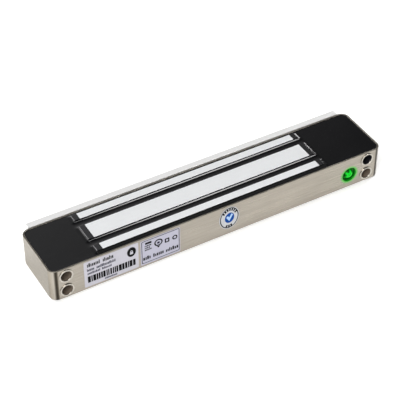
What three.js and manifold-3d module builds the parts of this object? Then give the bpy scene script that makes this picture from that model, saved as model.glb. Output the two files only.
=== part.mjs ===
// Surface-mounted magnetic door lock, lying on its back with the pole faces up.
// Millimetres, +Z up. X runs along the lock, and -Y is the long side that carries the lamp and labels.
// Sizes below are measured from the middle of the case, with z = 0 on its underside.
// The whole assembly is moved at the end, so that the origin is the middle of its footprint.

import * as THREE from 'three';
import { mergeVertices } from 'three/addons/utils/BufferGeometryUtils.js';
import Module from 'manifold-3d';

const wasm = await Module();
wasm.setup();

// ---------------------------------------------------------------- driving dimensions

const CLEARANCE = 0.3;    // round a piece that is let into another
const LAID_ON = 0.1;      // between two pieces that lie face to face
const BEYOND = 5;         // how far a cutter runs past what it cuts

// Folded and welded stainless case, open on the magnet side.
const CASE_LENGTH = 250;
const CASE_WIDTH = 45.4;
const CASE_HEIGHT = 25.1;
const SHEET = 1.2;
const CORNER_RADIUS = 5.5;
const FOLD_RADIUS = 1.5;

// Potting resin, poured almost to the rim.
const RESIN_BELOW_RIM = 0.25;

// E-shaped lamination stack. The legs stand up and end in the pole faces.
const STACK_LEFT = -86.6;
const STACK_RIGHT = 76.4;
const POLE_TOP = 26.4;
const YOKE_BOTTOM = 1.6;
const YOKE_TOP = 7.8;
const OUTER_LEG_OUTSIDE = 18.9;
const OUTER_LEG_INSIDE = 13.35;
const CENTRE_LEG_HALF = 6.8;

// Moulded cheeks that close both ends of the stack, level with the pole faces.
const CHEEK_THICKNESS = 4.4;
const CHEEK_EDGE_RADIUS = 0.9;

// Rivets that run the length of the stack, through the roots of the outer legs.
const RIVET_RADIUS = 1.7;
const RIVET_HEAD_RADIUS = 2.8;
const RIVET_HEAD_HEIGHT = 1.2;
const RIVET_Y = 16.1;
const RIVET_Z = 5;
const RIVET_EDGE = 0.5;

// Bobbin, winding and tape round the centre leg.
const BOBBIN_WALL = 0.8;
const WINDING_DEPTH = 4.1;
const TAPE = 0.35;
const BOBBIN_TOP = 23;

// Through sleeves for the fixing screws, two at each end, one above the other.
const SLEEVE_X = [-114.6, 113.2];
const SLEEVE_Z = [7.1, 19.1];
const SLEEVE_RADIUS = 4.35;
const SLEEVE_BORE = 3.75;
const SLEEVE_RIM = 4.95;
const SLEEVE_RIM_HEIGHT = 0.5;
const SLEEVE_MOUTH = 0.35;
const SCREW_SEAT_Y = 10;
const SCREW_WAY = 2.3;

// Socket-head screws, M4, in the lower sleeves.
const SCREW_RADIUS = 1.95;
const SCREW_HEAD_RADIUS = 3.5;
const SCREW_HEAD_HEIGHT = 4;
const HEX_KEY = 3;
const HEX_DEPTH = 2.2;
const SCREW_HEAD_EDGE = 0.4;
const SCREW_POINT = 0.6;
const SCREW_END_Y = 27.2;

// Status lamp: a domed LED in a shallow dish, set into the front wall.
const LAMP_X = 99.3;
const LAMP_Z = 11.2;
const LAMP_HOLE = 5.45;
const DOME_RADIUS = 3.6;
const DOME_STANDS_OUT = 0.9;
const LAMP_BACK = 7.1;
const DISH_LIP = 0.4;
const DISH_SLOPE = 0.3;
const LEAD_PITCH = 2.54;

// Circuit board behind the lamp, and what is soldered to it.
const BOARD = { left: 88.5, right: 107.5, bottom: 3.5, top: 22.5, front: -12.6, thickness: 1.6 };

// Cable inlet in the back wall.
const INLET_X = 96;
const INLET_Z = 12.6;
const INLET_HOLE = 5.2;
const INLET_BORE = 3.1;
const GROMMET_FLANGE = 6.2;
const CABLE_POCKET_END = 11;

// Aluminium plate that is screwed to the door frame first.
const PLATE_LENGTH = 238.4;
const PLATE_THICKNESS = 4.8;
const PLATE_BOTTOM = 0.6;
const PLATE_TOP = 25.4;
const FRAME_SLOT = { x: 62, length: 26, width: 6 };
const FRAME_HOLE = { x: 26, radius: 2.75, sink: 5.2 };
const CABLE_SLOT = { length: 20, width: 14 };

// Labels on the long side.
const LABEL_THICKNESS = 0.15;
const LABEL_CORNER = 0.8;
const RATING_LABEL = { left: -102.4, right: -63.8, bottom: 2.6, top: 24 };
const APPROVAL_LABEL = { left: -62.2, right: -33.3, bottom: 2.5, top: 23.4 };
const STICKER = { x: 3.7, z: 14.7, halfWidth: 7.6, halfHeight: 9.2 };

// ---------------------------------------------------------------- places worked out from them

const FRONT = -CASE_WIDTH / 2;
const BACK = CASE_WIDTH / 2;
const RESIN_TOP = CASE_HEIGHT - RESIN_BELOW_RIM;
const CHEEK_LEFT = STACK_LEFT - CHEEK_THICKNESS;
const CHEEK_RIGHT = STACK_RIGHT + CHEEK_THICKNESS;
const PLATE_FRONT = BACK + 2 * LAID_ON;
const PLATE_BACK = PLATE_FRONT + PLATE_THICKNESS;
const BOBBIN_BOTTOM = YOKE_TOP + CLEARANCE;
const BOARD_BACK = BOARD.front + BOARD.thickness;
const FRONTMOST = FRONT - DOME_STANDS_OUT;
const FOOTPRINT_MIDDLE_Y = (FRONTMOST + PLATE_BACK) / 2;

// ---------------------------------------------------------------- shapes to solids and back

const ALONG_X = new THREE.Matrix4().makeBasis(
  new THREE.Vector3(0, 1, 0),
  new THREE.Vector3(0, 0, 1),
  new THREE.Vector3(1, 0, 0),
);
const ALONG_MINUS_Y = new THREE.Matrix4().makeBasis(
  new THREE.Vector3(1, 0, 0),
  new THREE.Vector3(0, 0, 1),
  new THREE.Vector3(0, -1, 0),
);

// A closed three.js geometry as a manifold solid.
function solid(geometry) {
  const bare = geometry.clone();
  bare.deleteAttribute('normal');
  bare.deleteAttribute('uv');
  const merged = mergeVertices(bare, 1e-4);
  return new wasm.Manifold(new wasm.Mesh({
    numProp: 3,
    vertProperties: new Float32Array(merged.attributes.position.array),
    triVerts: new Uint32Array(merged.index.array),
  }));
}

// A manifold solid as a three.js geometry with flat faces.
function surface(body) {
  const { vertProperties, triVerts } = body.getMesh();
  const indexed = new THREE.BufferGeometry();
  indexed.setAttribute('position', new THREE.BufferAttribute(new Float32Array(vertProperties), 3));
  indexed.setIndex(new THREE.BufferAttribute(new Uint32Array(triVerts), 1));
  const geometry = indexed.toNonIndexed();
  geometry.computeVertexNormals();
  return geometry;
}

function cut(body, cutters) {
  return cutters.reduce((rest, cutter) => rest.subtract(cutter), body);
}

function join(bodies) {
  return bodies.reduce((whole, body) => whole.add(body));
}

// A rounded rectangle between two corners of the drawing plane.
function roundedRectangle(left, bottom, right, top, radius) {
  const shape = new THREE.Shape();
  shape.moveTo(left + radius, bottom);
  shape.lineTo(right - radius, bottom);
  shape.absarc(right - radius, bottom + radius, radius, -Math.PI / 2, 0);
  shape.lineTo(right, top - radius);
  shape.absarc(right - radius, top - radius, radius, 0, Math.PI / 2);
  shape.lineTo(left + radius, top);
  shape.absarc(left + radius, top - radius, radius, Math.PI / 2, Math.PI);
  shape.lineTo(left, bottom + radius);
  shape.absarc(left + radius, bottom + radius, radius, Math.PI, 1.5 * Math.PI);
  return shape;
}

// A drawing in X and Y, pushed up from one height to another.
function pushedUp(shape, from, to, curveSegments = 5) {
  const geometry = new THREE.ExtrudeGeometry(shape, { depth: to - from, bevelEnabled: false, curveSegments });
  return solid(geometry.translate(0, 0, from));
}

// A drawing in Y and Z, pushed along X.
function pushedAlongX(shape, from, to) {
  const geometry = new THREE.ExtrudeGeometry(shape, { depth: to - from, bevelEnabled: false });
  return solid(geometry.applyMatrix4(ALONG_X).translate(from, 0, 0));
}

// A drawing in X and Z, pushed along Y.
function pushedAlongY(shape, from, to, curveSegments = 5) {
  const geometry = new THREE.ExtrudeGeometry(shape, { depth: to - from, bevelEnabled: false, curveSegments });
  return solid(geometry.applyMatrix4(ALONG_MINUS_Y).translate(0, to, 0));
}

function block(low, high) {
  const size = high.map((value, axis) => value - low[axis]);
  const geometry = new THREE.BoxGeometry(...size);
  return solid(geometry.translate(...low.map((value, axis) => value + size[axis] / 2)));
}

// A round bar along Y, from one y to another.
function barAlongY(radius, x, z, from, to, segments = 28) {
  const geometry = new THREE.CylinderGeometry(radius, radius, to - from, segments);
  return solid(geometry.translate(x, (from + to) / 2, z));
}

// A turned piece about the Y axis: its outline is a closed list of [radius, y].
function turned(outline, segments = 28) {
  const points = outline.map(([radius, y]) => new THREE.Vector2(radius, y));
  return new THREE.LatheGeometry(points, segments);
}

// ---------------------------------------------------------------- case and resin

function caseShell() {
  const inset = FOLD_RADIUS;
  const outline = roundedRectangle(
    -CASE_LENGTH / 2 + inset, FRONT + inset, CASE_LENGTH / 2 - inset, BACK - inset, CORNER_RADIUS - inset,
  );
  const rounded = new THREE.ExtrudeGeometry(outline, {
    depth: CASE_HEIGHT,
    bevelThickness: FOLD_RADIUS,
    bevelSize: FOLD_RADIUS,
    bevelSegments: 3,
    curveSegments: 5,
  });
  const body = solid(rounded.translate(0, 0, FOLD_RADIUS));
  const aboveRim = block(
    [-CASE_LENGTH, -CASE_WIDTH, CASE_HEIGHT],
    [CASE_LENGTH, CASE_WIDTH, CASE_HEIGHT + 2 * FOLD_RADIUS + BEYOND],
  );
  return cut(body, [
    aboveRim,
    caseInside(0),
    ...sleevePlaces().map(({ x, z }) => barAlongY(SLEEVE_RADIUS + CLEARANCE, x, z, -CASE_WIDTH, CASE_WIDTH)),
    barAlongY(LAMP_HOLE, LAMP_X, LAMP_Z, FRONT - BEYOND, FRONT + BEYOND),
    barAlongY(INLET_HOLE, INLET_X, INLET_Z, BACK - BEYOND, BACK + BEYOND),
  ]);
}

// The space inside the case, shrunk by a gap all round.
function caseInside(gap, top = CASE_HEIGHT + BEYOND) {
  const inset = SHEET + gap;
  const outline = roundedRectangle(
    -CASE_LENGTH / 2 + inset, FRONT + inset, CASE_LENGTH / 2 - inset, BACK - inset, CORNER_RADIUS - inset,
  );
  return pushedUp(outline, inset, top);
}

// The resin fills the case round everything that was in it when it was poured.
function pottingResin() {
  const poured = caseInside(CLEARANCE, RESIN_TOP);
  const magnet = pushedAlongX(
    eProfile(CLEARANCE), CHEEK_LEFT - CLEARANCE, CHEEK_RIGHT + CLEARANCE,
  );
  return cut(poured, [
    magnet,
    bobbinSpace(),
    ...rivetHeadSpaces(),
    ...sleevePlaces().map(({ x, z }) => barAlongY(SLEEVE_RADIUS + CLEARANCE, x, z, -CASE_WIDTH, CASE_WIDTH)),
    ...lampSpaces(),
    ...boardSpaces(),
    ...inletSpaces(),
  ]);
}

// ---------------------------------------------------------------- magnet

// The E across the lock, in Y and Z, grown by a gap all round. Its top is left open for the pocket.
function eProfile(gap = 0) {
  const top = gap > 0 ? CASE_HEIGHT + BEYOND : POLE_TOP;
  const outside = OUTER_LEG_OUTSIDE + gap;
  const inside = OUTER_LEG_INSIDE - gap;
  const centre = CENTRE_LEG_HALF + gap;
  const floor = YOKE_TOP + gap;
  const bottom = YOKE_BOTTOM - gap;
  const shape = new THREE.Shape();
  shape.moveTo(-outside, bottom);
  shape.lineTo(outside, bottom);
  shape.lineTo(outside, top);
  shape.lineTo(inside, top);
  shape.lineTo(inside, floor);
  shape.lineTo(centre, floor);
  shape.lineTo(centre, top);
  shape.lineTo(-centre, top);
  shape.lineTo(-centre, floor);
  shape.lineTo(-inside, floor);
  shape.lineTo(-inside, top);
  shape.lineTo(-outside, top);
  shape.closePath();
  return shape;
}

function barAlongX(radius, y, z, from, to, segments = 20) {
  const geometry = new THREE.CylinderGeometry(radius, radius, to - from, segments);
  return solid(geometry.rotateZ(-Math.PI / 2).translate((from + to) / 2, y, z));
}

function rivetHoles() {
  return [-RIVET_Y, RIVET_Y].map((y) => (
    barAlongX(RIVET_RADIUS + CLEARANCE, y, RIVET_Z, CHEEK_LEFT - BEYOND, CHEEK_RIGHT + BEYOND)
  ));
}

function laminationStack() {
  return cut(pushedAlongX(eProfile(), STACK_LEFT, STACK_RIGHT), rivetHoles());
}

// A cheek's outline from the side, in X and Z: its outer top edge is rounded.
function cheekSide(inner, outer) {
  const towards = Math.sign(outer - inner);
  const shape = new THREE.Shape();
  shape.moveTo(inner, YOKE_BOTTOM);
  shape.lineTo(outer, YOKE_BOTTOM);
  shape.lineTo(outer, POLE_TOP - CHEEK_EDGE_RADIUS);
  shape.absarc(
    outer - towards * CHEEK_EDGE_RADIUS, POLE_TOP - CHEEK_EDGE_RADIUS, CHEEK_EDGE_RADIUS,
    towards > 0 ? 0 : Math.PI, Math.PI / 2, towards < 0,
  );
  shape.lineTo(inner, POLE_TOP);
  shape.closePath();
  return shape;
}

function endCheek(stackEnd, outer) {
  const inner = stackEnd + Math.sign(outer - stackEnd) * LAID_ON;
  const section = pushedAlongX(eProfile(), Math.min(inner, outer), Math.max(inner, outer));
  const side = pushedAlongY(cheekSide(inner, outer), -CASE_WIDTH, CASE_WIDTH, 4);
  return cut(section.intersect(side), rivetHoles());
}

// One rivet about its own X axis, with a head formed at each end.
function rivet() {
  const half = (CHEEK_RIGHT - CHEEK_LEFT) / 2 + LAID_ON;
  const end = half + RIVET_HEAD_HEIGHT;
  const outline = [
    [0, -end],
    [RIVET_HEAD_RADIUS - RIVET_EDGE, -end],
    [RIVET_HEAD_RADIUS, -end + RIVET_EDGE],
    [RIVET_HEAD_RADIUS, -half],
    [RIVET_RADIUS, -half],
    [RIVET_RADIUS, half],
    [RIVET_HEAD_RADIUS, half],
    [RIVET_HEAD_RADIUS, end - RIVET_EDGE],
    [RIVET_HEAD_RADIUS - RIVET_EDGE, end],
    [0, end],
  ];
  return turned(outline, 20).rotateZ(-Math.PI / 2);
}

function rivetHeadSpaces() {
  const reach = RIVET_HEAD_HEIGHT + LAID_ON + CLEARANCE;
  return [-RIVET_Y, RIVET_Y].map((y) => (
    barAlongX(RIVET_HEAD_RADIUS + CLEARANCE, y, RIVET_Z, CHEEK_LEFT - reach, CHEEK_RIGHT + reach)
  ));
}

// A loop round the centre leg, in X and Y: how far its inside and its outside stand off the leg.
function loop(inside, outside, cornerRadius) {
  const shape = roundedRectangle(
    CHEEK_LEFT - outside, -CENTRE_LEG_HALF - outside,
    CHEEK_RIGHT + outside, CENTRE_LEG_HALF + outside, cornerRadius,
  );
  shape.holes.push(roundedRectangle(
    CHEEK_LEFT - inside, -CENTRE_LEG_HALF - inside,
    CHEEK_RIGHT + inside, CENTRE_LEG_HALF + inside, Math.min(0.3, inside),
  ));
  return shape;
}

const BOBBIN_INSIDE = CLEARANCE;
const BOBBIN_OUTSIDE = BOBBIN_INSIDE + BOBBIN_WALL;
const WINDING_INSIDE = BOBBIN_OUTSIDE + CLEARANCE;
const WINDING_OUTSIDE = WINDING_INSIDE + WINDING_DEPTH;
const TAPE_INSIDE = WINDING_OUTSIDE + LAID_ON;
const TAPE_OUTSIDE = TAPE_INSIDE + TAPE;
const FLANGE_OUTSIDE = OUTER_LEG_INSIDE - CENTRE_LEG_HALF - CLEARANCE;
const LOOP_CORNER = 4.5;

function coilBobbin() {
  const flange = loop(BOBBIN_INSIDE, FLANGE_OUTSIDE, LOOP_CORNER);
  return join([
    pushedUp(flange, BOBBIN_BOTTOM, BOBBIN_BOTTOM + BOBBIN_WALL),
    pushedUp(loop(BOBBIN_INSIDE, BOBBIN_OUTSIDE, 0.8), BOBBIN_BOTTOM, BOBBIN_TOP),
    pushedUp(flange, BOBBIN_TOP - BOBBIN_WALL, BOBBIN_TOP),
  ]);
}

function betweenFlanges(shape) {
  return pushedUp(shape, BOBBIN_BOTTOM + BOBBIN_WALL + LAID_ON, BOBBIN_TOP - BOBBIN_WALL - LAID_ON);
}

function coilWinding() {
  return betweenFlanges(loop(WINDING_INSIDE, WINDING_OUTSIDE, LOOP_CORNER - TAPE));
}

function coilTape() {
  const shape = roundedRectangle(
    CHEEK_LEFT - TAPE_OUTSIDE, -CENTRE_LEG_HALF - TAPE_OUTSIDE,
    CHEEK_RIGHT + TAPE_OUTSIDE, CENTRE_LEG_HALF + TAPE_OUTSIDE, LOOP_CORNER,
  );
  shape.holes.push(roundedRectangle(
    CHEEK_LEFT - TAPE_INSIDE, -CENTRE_LEG_HALF - TAPE_INSIDE,
    CHEEK_RIGHT + TAPE_INSIDE, CENTRE_LEG_HALF + TAPE_INSIDE, LOOP_CORNER - TAPE,
  ));
  return betweenFlanges(shape);
}

function bobbinSpace() {
  const reach = FLANGE_OUTSIDE + CLEARANCE;
  return block(
    [CHEEK_LEFT - reach, -OUTER_LEG_INSIDE, YOKE_TOP],
    [CHEEK_RIGHT + reach, OUTER_LEG_INSIDE, BOBBIN_TOP + CLEARANCE],
  );
}

// ---------------------------------------------------------------- sleeves and screws

function sleevePlaces() {
  return SLEEVE_X.flatMap((x) => SLEEVE_Z.map((z) => ({ x, z })));
}

// A flared sleeve about Y, with a wide bore for the screw's head and a narrow way for its shank.
function sleeve() {
  const rimBack = FRONT - LAID_ON;
  const rimFront = rimBack - SLEEVE_RIM_HEIGHT;
  const mouth = SLEEVE_MOUTH;
  const end = BACK - LAID_ON;
  return turned([
    [SLEEVE_BORE, rimFront + mouth],
    [SLEEVE_BORE + 0.3 * mouth, rimFront + 0.3 * mouth],
    [SLEEVE_BORE + mouth, rimFront],
    [SLEEVE_RIM - mouth, rimFront],
    [SLEEVE_RIM, rimFront + mouth],
    [SLEEVE_RIM, rimBack],
    [SLEEVE_RADIUS, rimBack],
    [SLEEVE_RADIUS, end],
    [SCREW_WAY, end],
    [SCREW_WAY, SCREW_SEAT_Y],
    [SLEEVE_BORE, SCREW_SEAT_Y],
    [SLEEVE_BORE, rimFront + mouth],
  ]);
}

function fixingScrew() {
  const seat = SCREW_SEAT_Y - LAID_ON;
  const top = seat - SCREW_HEAD_HEIGHT;
  const bar = solid(turned([
    [0, top],
    [SCREW_HEAD_RADIUS - SCREW_HEAD_EDGE, top],
    [SCREW_HEAD_RADIUS, top + SCREW_HEAD_EDGE],
    [SCREW_HEAD_RADIUS, seat],
    [SCREW_RADIUS, seat],
    [SCREW_RADIUS, SCREW_END_Y - SCREW_POINT],
    [SCREW_RADIUS - SCREW_POINT, SCREW_END_Y],
    [0, SCREW_END_Y],
  ], 24));
  const acrossCorners = HEX_KEY / Math.cos(Math.PI / 6);
  const socket = barAlongY(acrossCorners / 2, 0, 0, top - BEYOND, top + HEX_DEPTH, 6);
  return surface(bar.subtract(socket));
}

// ---------------------------------------------------------------- lamp

const DISH_FRONT = FRONT + 0.8;
const DISH_FLOOR = FRONT + 2.5;
const LAMP_END = FRONT + LAMP_BACK;

// A dished ring about Y that holds the LED in the hole.
function lampHolder() {
  const outside = LAMP_HOLE - CLEARANCE;
  const bore = DOME_RADIUS + CLEARANCE;
  return turned([
    [bore, DISH_FLOOR],
    [outside - DISH_LIP - DISH_SLOPE, DISH_FLOOR],
    [outside - DISH_LIP, DISH_FRONT],
    [outside, DISH_FRONT],
    [outside, LAMP_END],
    [bore, LAMP_END],
    [bore, DISH_FLOOR],
  ]);
}

// The LED's clear body, ending in a half-round dome.
function statusLed() {
  const centre = FRONTMOST + DOME_RADIUS;
  const steps = 6;
  const dome = Array.from({ length: steps + 1 }, (_, step) => {
    const angle = (step / steps) * (Math.PI / 2);
    return [DOME_RADIUS * Math.sin(angle), centre - DOME_RADIUS * Math.cos(angle)];
  });
  return turned([...dome, [DOME_RADIUS, LAMP_END], [0, LAMP_END]], 24);
}

function ledLead() {
  const from = LAMP_END + LAID_ON;
  const to = BOARD_BACK + LED_LEAD.past;
  const { width } = LED_LEAD;
  return new THREE.BoxGeometry(width, to - from, width).translate(0, (from + to) / 2, 0);
}

function leadPlaces() {
  return [LAMP_X - LEAD_PITCH / 2, LAMP_X + LEAD_PITCH / 2];
}

function lampSpaces() {
  const across = LED_LEAD.width / 2 + CLEARANCE;
  const half = LEAD_PITCH / 2 + across;
  return [
    barAlongY(LAMP_HOLE, LAMP_X, LAMP_Z, FRONT - BEYOND, LAMP_END + CLEARANCE),
    block([LAMP_X - half, LAMP_END, LAMP_Z - across], [LAMP_X + half, BOARD.front, LAMP_Z + across]),
  ];
}

// ---------------------------------------------------------------- circuit board

const RELAY = { low: [91, BOARD_BACK + LAID_ON, 12.6], high: [106, BOARD_BACK + 7.6, 22.2] };
const SENSOR = { low: [89.5, BOARD.front - 1.7, 18.8], high: [93.6, BOARD.front - LAID_ON, 22] };
const SUPPRESSOR = { x: 93.6, z: 7.3, radius: 3.5, thickness: 4 };
const DIODE = { x: 104.2, z: 7.2, radius: 1.35, length: 5 };
const COIL_LEAD_Z = [11, 15];
const COIL_LEAD_RADIUS = 0.5;
const COIL_LEAD_FRONT = -15.6;
const COIL_LEAD_ROOT = -7.5;
const COIL_LEAD_END = 3.4;
const MOULDED_CORNER = 0.5;
const DISC_EDGE = 0.8;
const DIODE_WIRE = { radius: 0.35, length: 1 };
const LED_LEAD = { width: 0.5, past: 1 };

function circuitBoard() {
  const sheet = block(
    [BOARD.left, BOARD.front, BOARD.bottom],
    [BOARD.right, BOARD_BACK, BOARD.top],
  );
  const drill = LED_LEAD.width / 2 + CLEARANCE + LAID_ON;
  const drilled = leadPlaces().map((x) => barAlongY(drill, x, LAMP_Z, -CASE_WIDTH, CASE_WIDTH, 10));
  return cut(sheet, drilled);
}

// A moulded body with rounded upright corners, drawn in X and Z, such as the relay or the sensor.
function mouldedBody({ low, high }) {
  const outline = roundedRectangle(low[0], low[2], high[0], high[2], MOULDED_CORNER);
  return pushedAlongY(outline, low[1], high[1], 2);
}

// A disc that soaks up voltage spikes, lying against the board.
function surgeSuppressor() {
  const near = BOARD_BACK + LAID_ON;
  const far = near + SUPPRESSOR.thickness;
  const { radius } = SUPPRESSOR;
  return turned([
    [0, near],
    [radius - DISC_EDGE, near],
    [radius, near + DISC_EDGE],
    [radius, far - DISC_EDGE],
    [radius - DISC_EDGE, far],
    [0, far],
  ], 24);
}

// The diode across the coil: a small barrel with a wire at each end, about Y before it is turned upright.
function flybackDiode() {
  const { radius } = DIODE;
  const half = DIODE.length / 2;
  const end = half + DIODE_WIRE.length;
  return turned([
    [0, -end],
    [DIODE_WIRE.radius, -end],
    [DIODE_WIRE.radius, -half],
    [radius, -half],
    [radius, half],
    [DIODE_WIRE.radius, half],
    [DIODE_WIRE.radius, end],
    [0, end],
  ], 16);
}

// One end of the winding, led over to the front of the board.
function coilLead() {
  const start = CHEEK_RIGHT + TAPE_OUTSIDE + CLEARANCE + COIL_LEAD_RADIUS;
  const route = new THREE.CatmullRomCurve3([
    new THREE.Vector3(start, COIL_LEAD_ROOT, 0),
    new THREE.Vector3(start, -10.5, 0),
    new THREE.Vector3(start + 0.1, -13.4, 0),
    new THREE.Vector3(start + 1.2, -15.4, 0),
    new THREE.Vector3(BOARD.left + 2.4, COIL_LEAD_FRONT, 0),
    new THREE.Vector3(BOARD.left + 3.3, -14.6, 0),
    new THREE.Vector3(BOARD.left + COIL_LEAD_END, BOARD.front - CLEARANCE, 0),
  ]);
  const section = new THREE.Shape().absarc(0, 0, COIL_LEAD_RADIUS, 0, 2 * Math.PI);
  return new THREE.ExtrudeGeometry(section, {
    steps: 14,
    curveSegments: 4,
    bevelEnabled: false,
    extrudePath: route,
  });
}

function boardSpaces() {
  const grown = ({ low, high }) => block(
    low.map((value) => value - CLEARANCE), high.map((value) => value + CLEARANCE),
  );
  const disc = SUPPRESSOR.radius;
  const diodeHalf = DIODE.length / 2 + DIODE_WIRE.length;
  const leadReach = COIL_LEAD_RADIUS;
  return [
    grown({
      low: [BOARD.left, BOARD.front, BOARD.bottom],
      high: [BOARD.right, BOARD_BACK + LED_LEAD.past, BOARD.top],
    }),
    grown(RELAY),
    grown(SENSOR),
    grown({
      low: [SUPPRESSOR.x - disc, BOARD_BACK, SUPPRESSOR.z - disc],
      high: [SUPPRESSOR.x + disc, BOARD_BACK + LAID_ON + SUPPRESSOR.thickness, SUPPRESSOR.z + disc],
    }),
    grown({
      low: [DIODE.x - DIODE.radius, BOARD_BACK, DIODE.z - diodeHalf],
      high: [DIODE.x + DIODE.radius, BOARD_BACK + CLEARANCE + 2 * DIODE.radius, DIODE.z + diodeHalf],
    }),
    grown({
      low: [CHEEK_RIGHT + FLANGE_OUTSIDE, COIL_LEAD_FRONT - leadReach, COIL_LEAD_Z[0] - leadReach],
      high: [BOARD.left + COIL_LEAD_END + leadReach, COIL_LEAD_ROOT + leadReach, COIL_LEAD_Z[1] + leadReach],
    }),
  ];
}

// ---------------------------------------------------------------- cable inlet

// A rubber grommet about Y, with a groove for the back wall.
function cableGrommet() {
  const neck = INLET_HOLE - CLEARANCE;
  const inside = BACK - SHEET - LAID_ON;
  const outside = BACK + LAID_ON;
  const lip = 1.5;
  return turned([
    [INLET_BORE, inside - lip],
    [GROMMET_FLANGE - 0.5, inside - lip],
    [GROMMET_FLANGE, inside - lip + 0.5],
    [GROMMET_FLANGE, inside],
    [neck, inside],
    [neck, outside],
    [GROMMET_FLANGE, outside],
    [GROMMET_FLANGE, outside + lip - 0.5],
    [GROMMET_FLANGE - 0.5, outside + lip],
    [INLET_BORE, outside + lip],
    [INLET_BORE, inside - lip],
  ], 24);
}

function inletSpaces() {
  return [
    barAlongY(GROMMET_FLANGE + CLEARANCE, INLET_X, INLET_Z, BACK - SHEET - 2, BACK, 24),
    barAlongY(INLET_BORE, INLET_X, INLET_Z, CABLE_POCKET_END, BACK, 24),
  ];
}

// ---------------------------------------------------------------- mounting plate

function slot(x, z, length, width) {
  const shape = roundedRectangle(
    x - length / 2, z - width / 2, x + length / 2, z + width / 2, width / 2 - 0.01,
  );
  return pushedAlongY(shape, PLATE_FRONT - BEYOND, PLATE_BACK + BEYOND);
}

// A hole for a countersunk screw, sunk from the side that the case lies against.
function countersunkHole(x, z) {
  const { radius, sink } = FRAME_HOLE;
  const depth = sink - radius;
  return solid(turned([
    [0, PLATE_FRONT - BEYOND],
    [sink, PLATE_FRONT - BEYOND],
    [sink, PLATE_FRONT],
    [radius, PLATE_FRONT + depth],
    [radius, PLATE_BACK + BEYOND],
    [0, PLATE_BACK + BEYOND],
  ], 24).translate(x, 0, z));
}

function mountingPlate() {
  const middle = (PLATE_BOTTOM + PLATE_TOP) / 2;
  const sheet = pushedAlongY(
    roundedRectangle(-PLATE_LENGTH / 2, PLATE_BOTTOM, PLATE_LENGTH / 2, PLATE_TOP, 0.5),
    PLATE_FRONT, PLATE_BACK, 2,
  );
  return cut(sheet, [
    ...sleevePlaces().map(({ x, z }) => barAlongY(SCREW_WAY, x, z, BACK - BEYOND, PLATE_BACK + BEYOND, 24)),
    ...[-FRAME_SLOT.x, FRAME_SLOT.x].map((x) => slot(x, middle, FRAME_SLOT.length, FRAME_SLOT.width)),
    ...[-FRAME_HOLE.x, FRAME_HOLE.x].map((x) => countersunkHole(x, middle)),
    slot(INLET_X, INLET_Z, CABLE_SLOT.length, CABLE_SLOT.width),
  ]);
}

// ---------------------------------------------------------------- labels

function onFrontFace(shape, curveSegments) {
  const back = FRONT - LAID_ON / 2;
  return pushedAlongY(shape, back - LABEL_THICKNESS, back, curveSegments);
}

function label({ left, right, bottom, top }) {
  return onFrontFace(roundedRectangle(left, bottom, right, top, LABEL_CORNER), 3);
}

function ovalSticker() {
  const { x, z, halfWidth, halfHeight } = STICKER;
  const shape = new THREE.Shape();
  shape.absellipse(x, z, halfWidth, halfHeight, 0, 2 * Math.PI);
  return onFrontFace(shape, 16);
}

// ---------------------------------------------------------------- finishes

const FINISHES = {
  stainless: { color: 0xbdb9ae, roughness: 0.38, metalness: 1 },
  resin: { color: 0x1f1f21, roughness: 0.35, metalness: 0 },
  ground_steel: { color: 0xdfe1e1, roughness: 0.3, metalness: 1 },
  cheek_black: { color: 0x353537, roughness: 0.5, metalness: 0 },
  zinc: { color: 0xc8c8c4, roughness: 0.35, metalness: 1 },
  bobbin_nylon: { color: 0x24252a, roughness: 0.6, metalness: 0 },
  enamelled_copper: { color: 0xa8552a, roughness: 0.35, metalness: 1 },
  tape: { color: 0xd9b23c, roughness: 0.5, metalness: 0 },
  aluminium: { color: 0xe4e3e0, roughness: 0.4, metalness: 1 },
  screw_steel: { color: 0x55524c, roughness: 0.4, metalness: 1 },
  rubber: { color: 0x1b1b1c, roughness: 0.8, metalness: 0 },
  board_green: { color: 0x1f6b3a, roughness: 0.5, metalness: 0 },
  component_black: { color: 0x202124, roughness: 0.5, metalness: 0 },
  suppressor_blue: { color: 0x2b5fa8, roughness: 0.5, metalness: 0 },
  wire_red: { color: 0xa02822, roughness: 0.5, metalness: 0 },
  lamp_dish: { color: 0x0b5a12, roughness: 0.4, metalness: 0 },
  lamp_green: { color: 0x2cf04a, roughness: 0.15, metalness: 0 },
  label_white: { color: 0xf1f1f2, roughness: 0.45, metalness: 0 },
  label_silver: { color: 0xe3e0ec, roughness: 0.4, metalness: 0 },
  sticker_blue: { color: 0x0a4f9c, roughness: 0.4, metalness: 0 },
};

function piece(name, geometry, finish, place = [0, 0, 0]) {
  const mesh = new THREE.Mesh(geometry, new THREE.MeshStandardMaterial(FINISHES[finish]));
  mesh.name = name;
  mesh.position.set(...place);
  return mesh;
}

// ---------------------------------------------------------------- assembly

const lock = new THREE.Group();
lock.position.set(0, -FOOTPRINT_MIDDLE_Y, 0);

lock.add(piece('case_shell', surface(caseShell()), 'stainless'));
lock.add(piece('potting_resin', surface(pottingResin()), 'resin'));

const magnet = new THREE.Group();
magnet.add(piece('lamination_stack', surface(laminationStack()), 'ground_steel'));
magnet.add(piece('end_cheek_left', surface(endCheek(STACK_LEFT, CHEEK_LEFT)), 'cheek_black'));
magnet.add(piece('end_cheek_right', surface(endCheek(STACK_RIGHT, CHEEK_RIGHT)), 'cheek_black'));
magnet.add(piece('coil_bobbin', surface(coilBobbin()), 'bobbin_nylon'));
magnet.add(piece('coil_winding', surface(coilWinding()), 'enamelled_copper'));
magnet.add(piece('coil_tape', surface(coilTape()), 'tape'));
[['core_rivet_front', -RIVET_Y], ['core_rivet_rear', RIVET_Y]].forEach(([name, y]) => {
  magnet.add(piece(name, rivet(), 'zinc', [(CHEEK_LEFT + CHEEK_RIGHT) / 2, y, RIVET_Z]));
});
lock.add(magnet);

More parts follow.
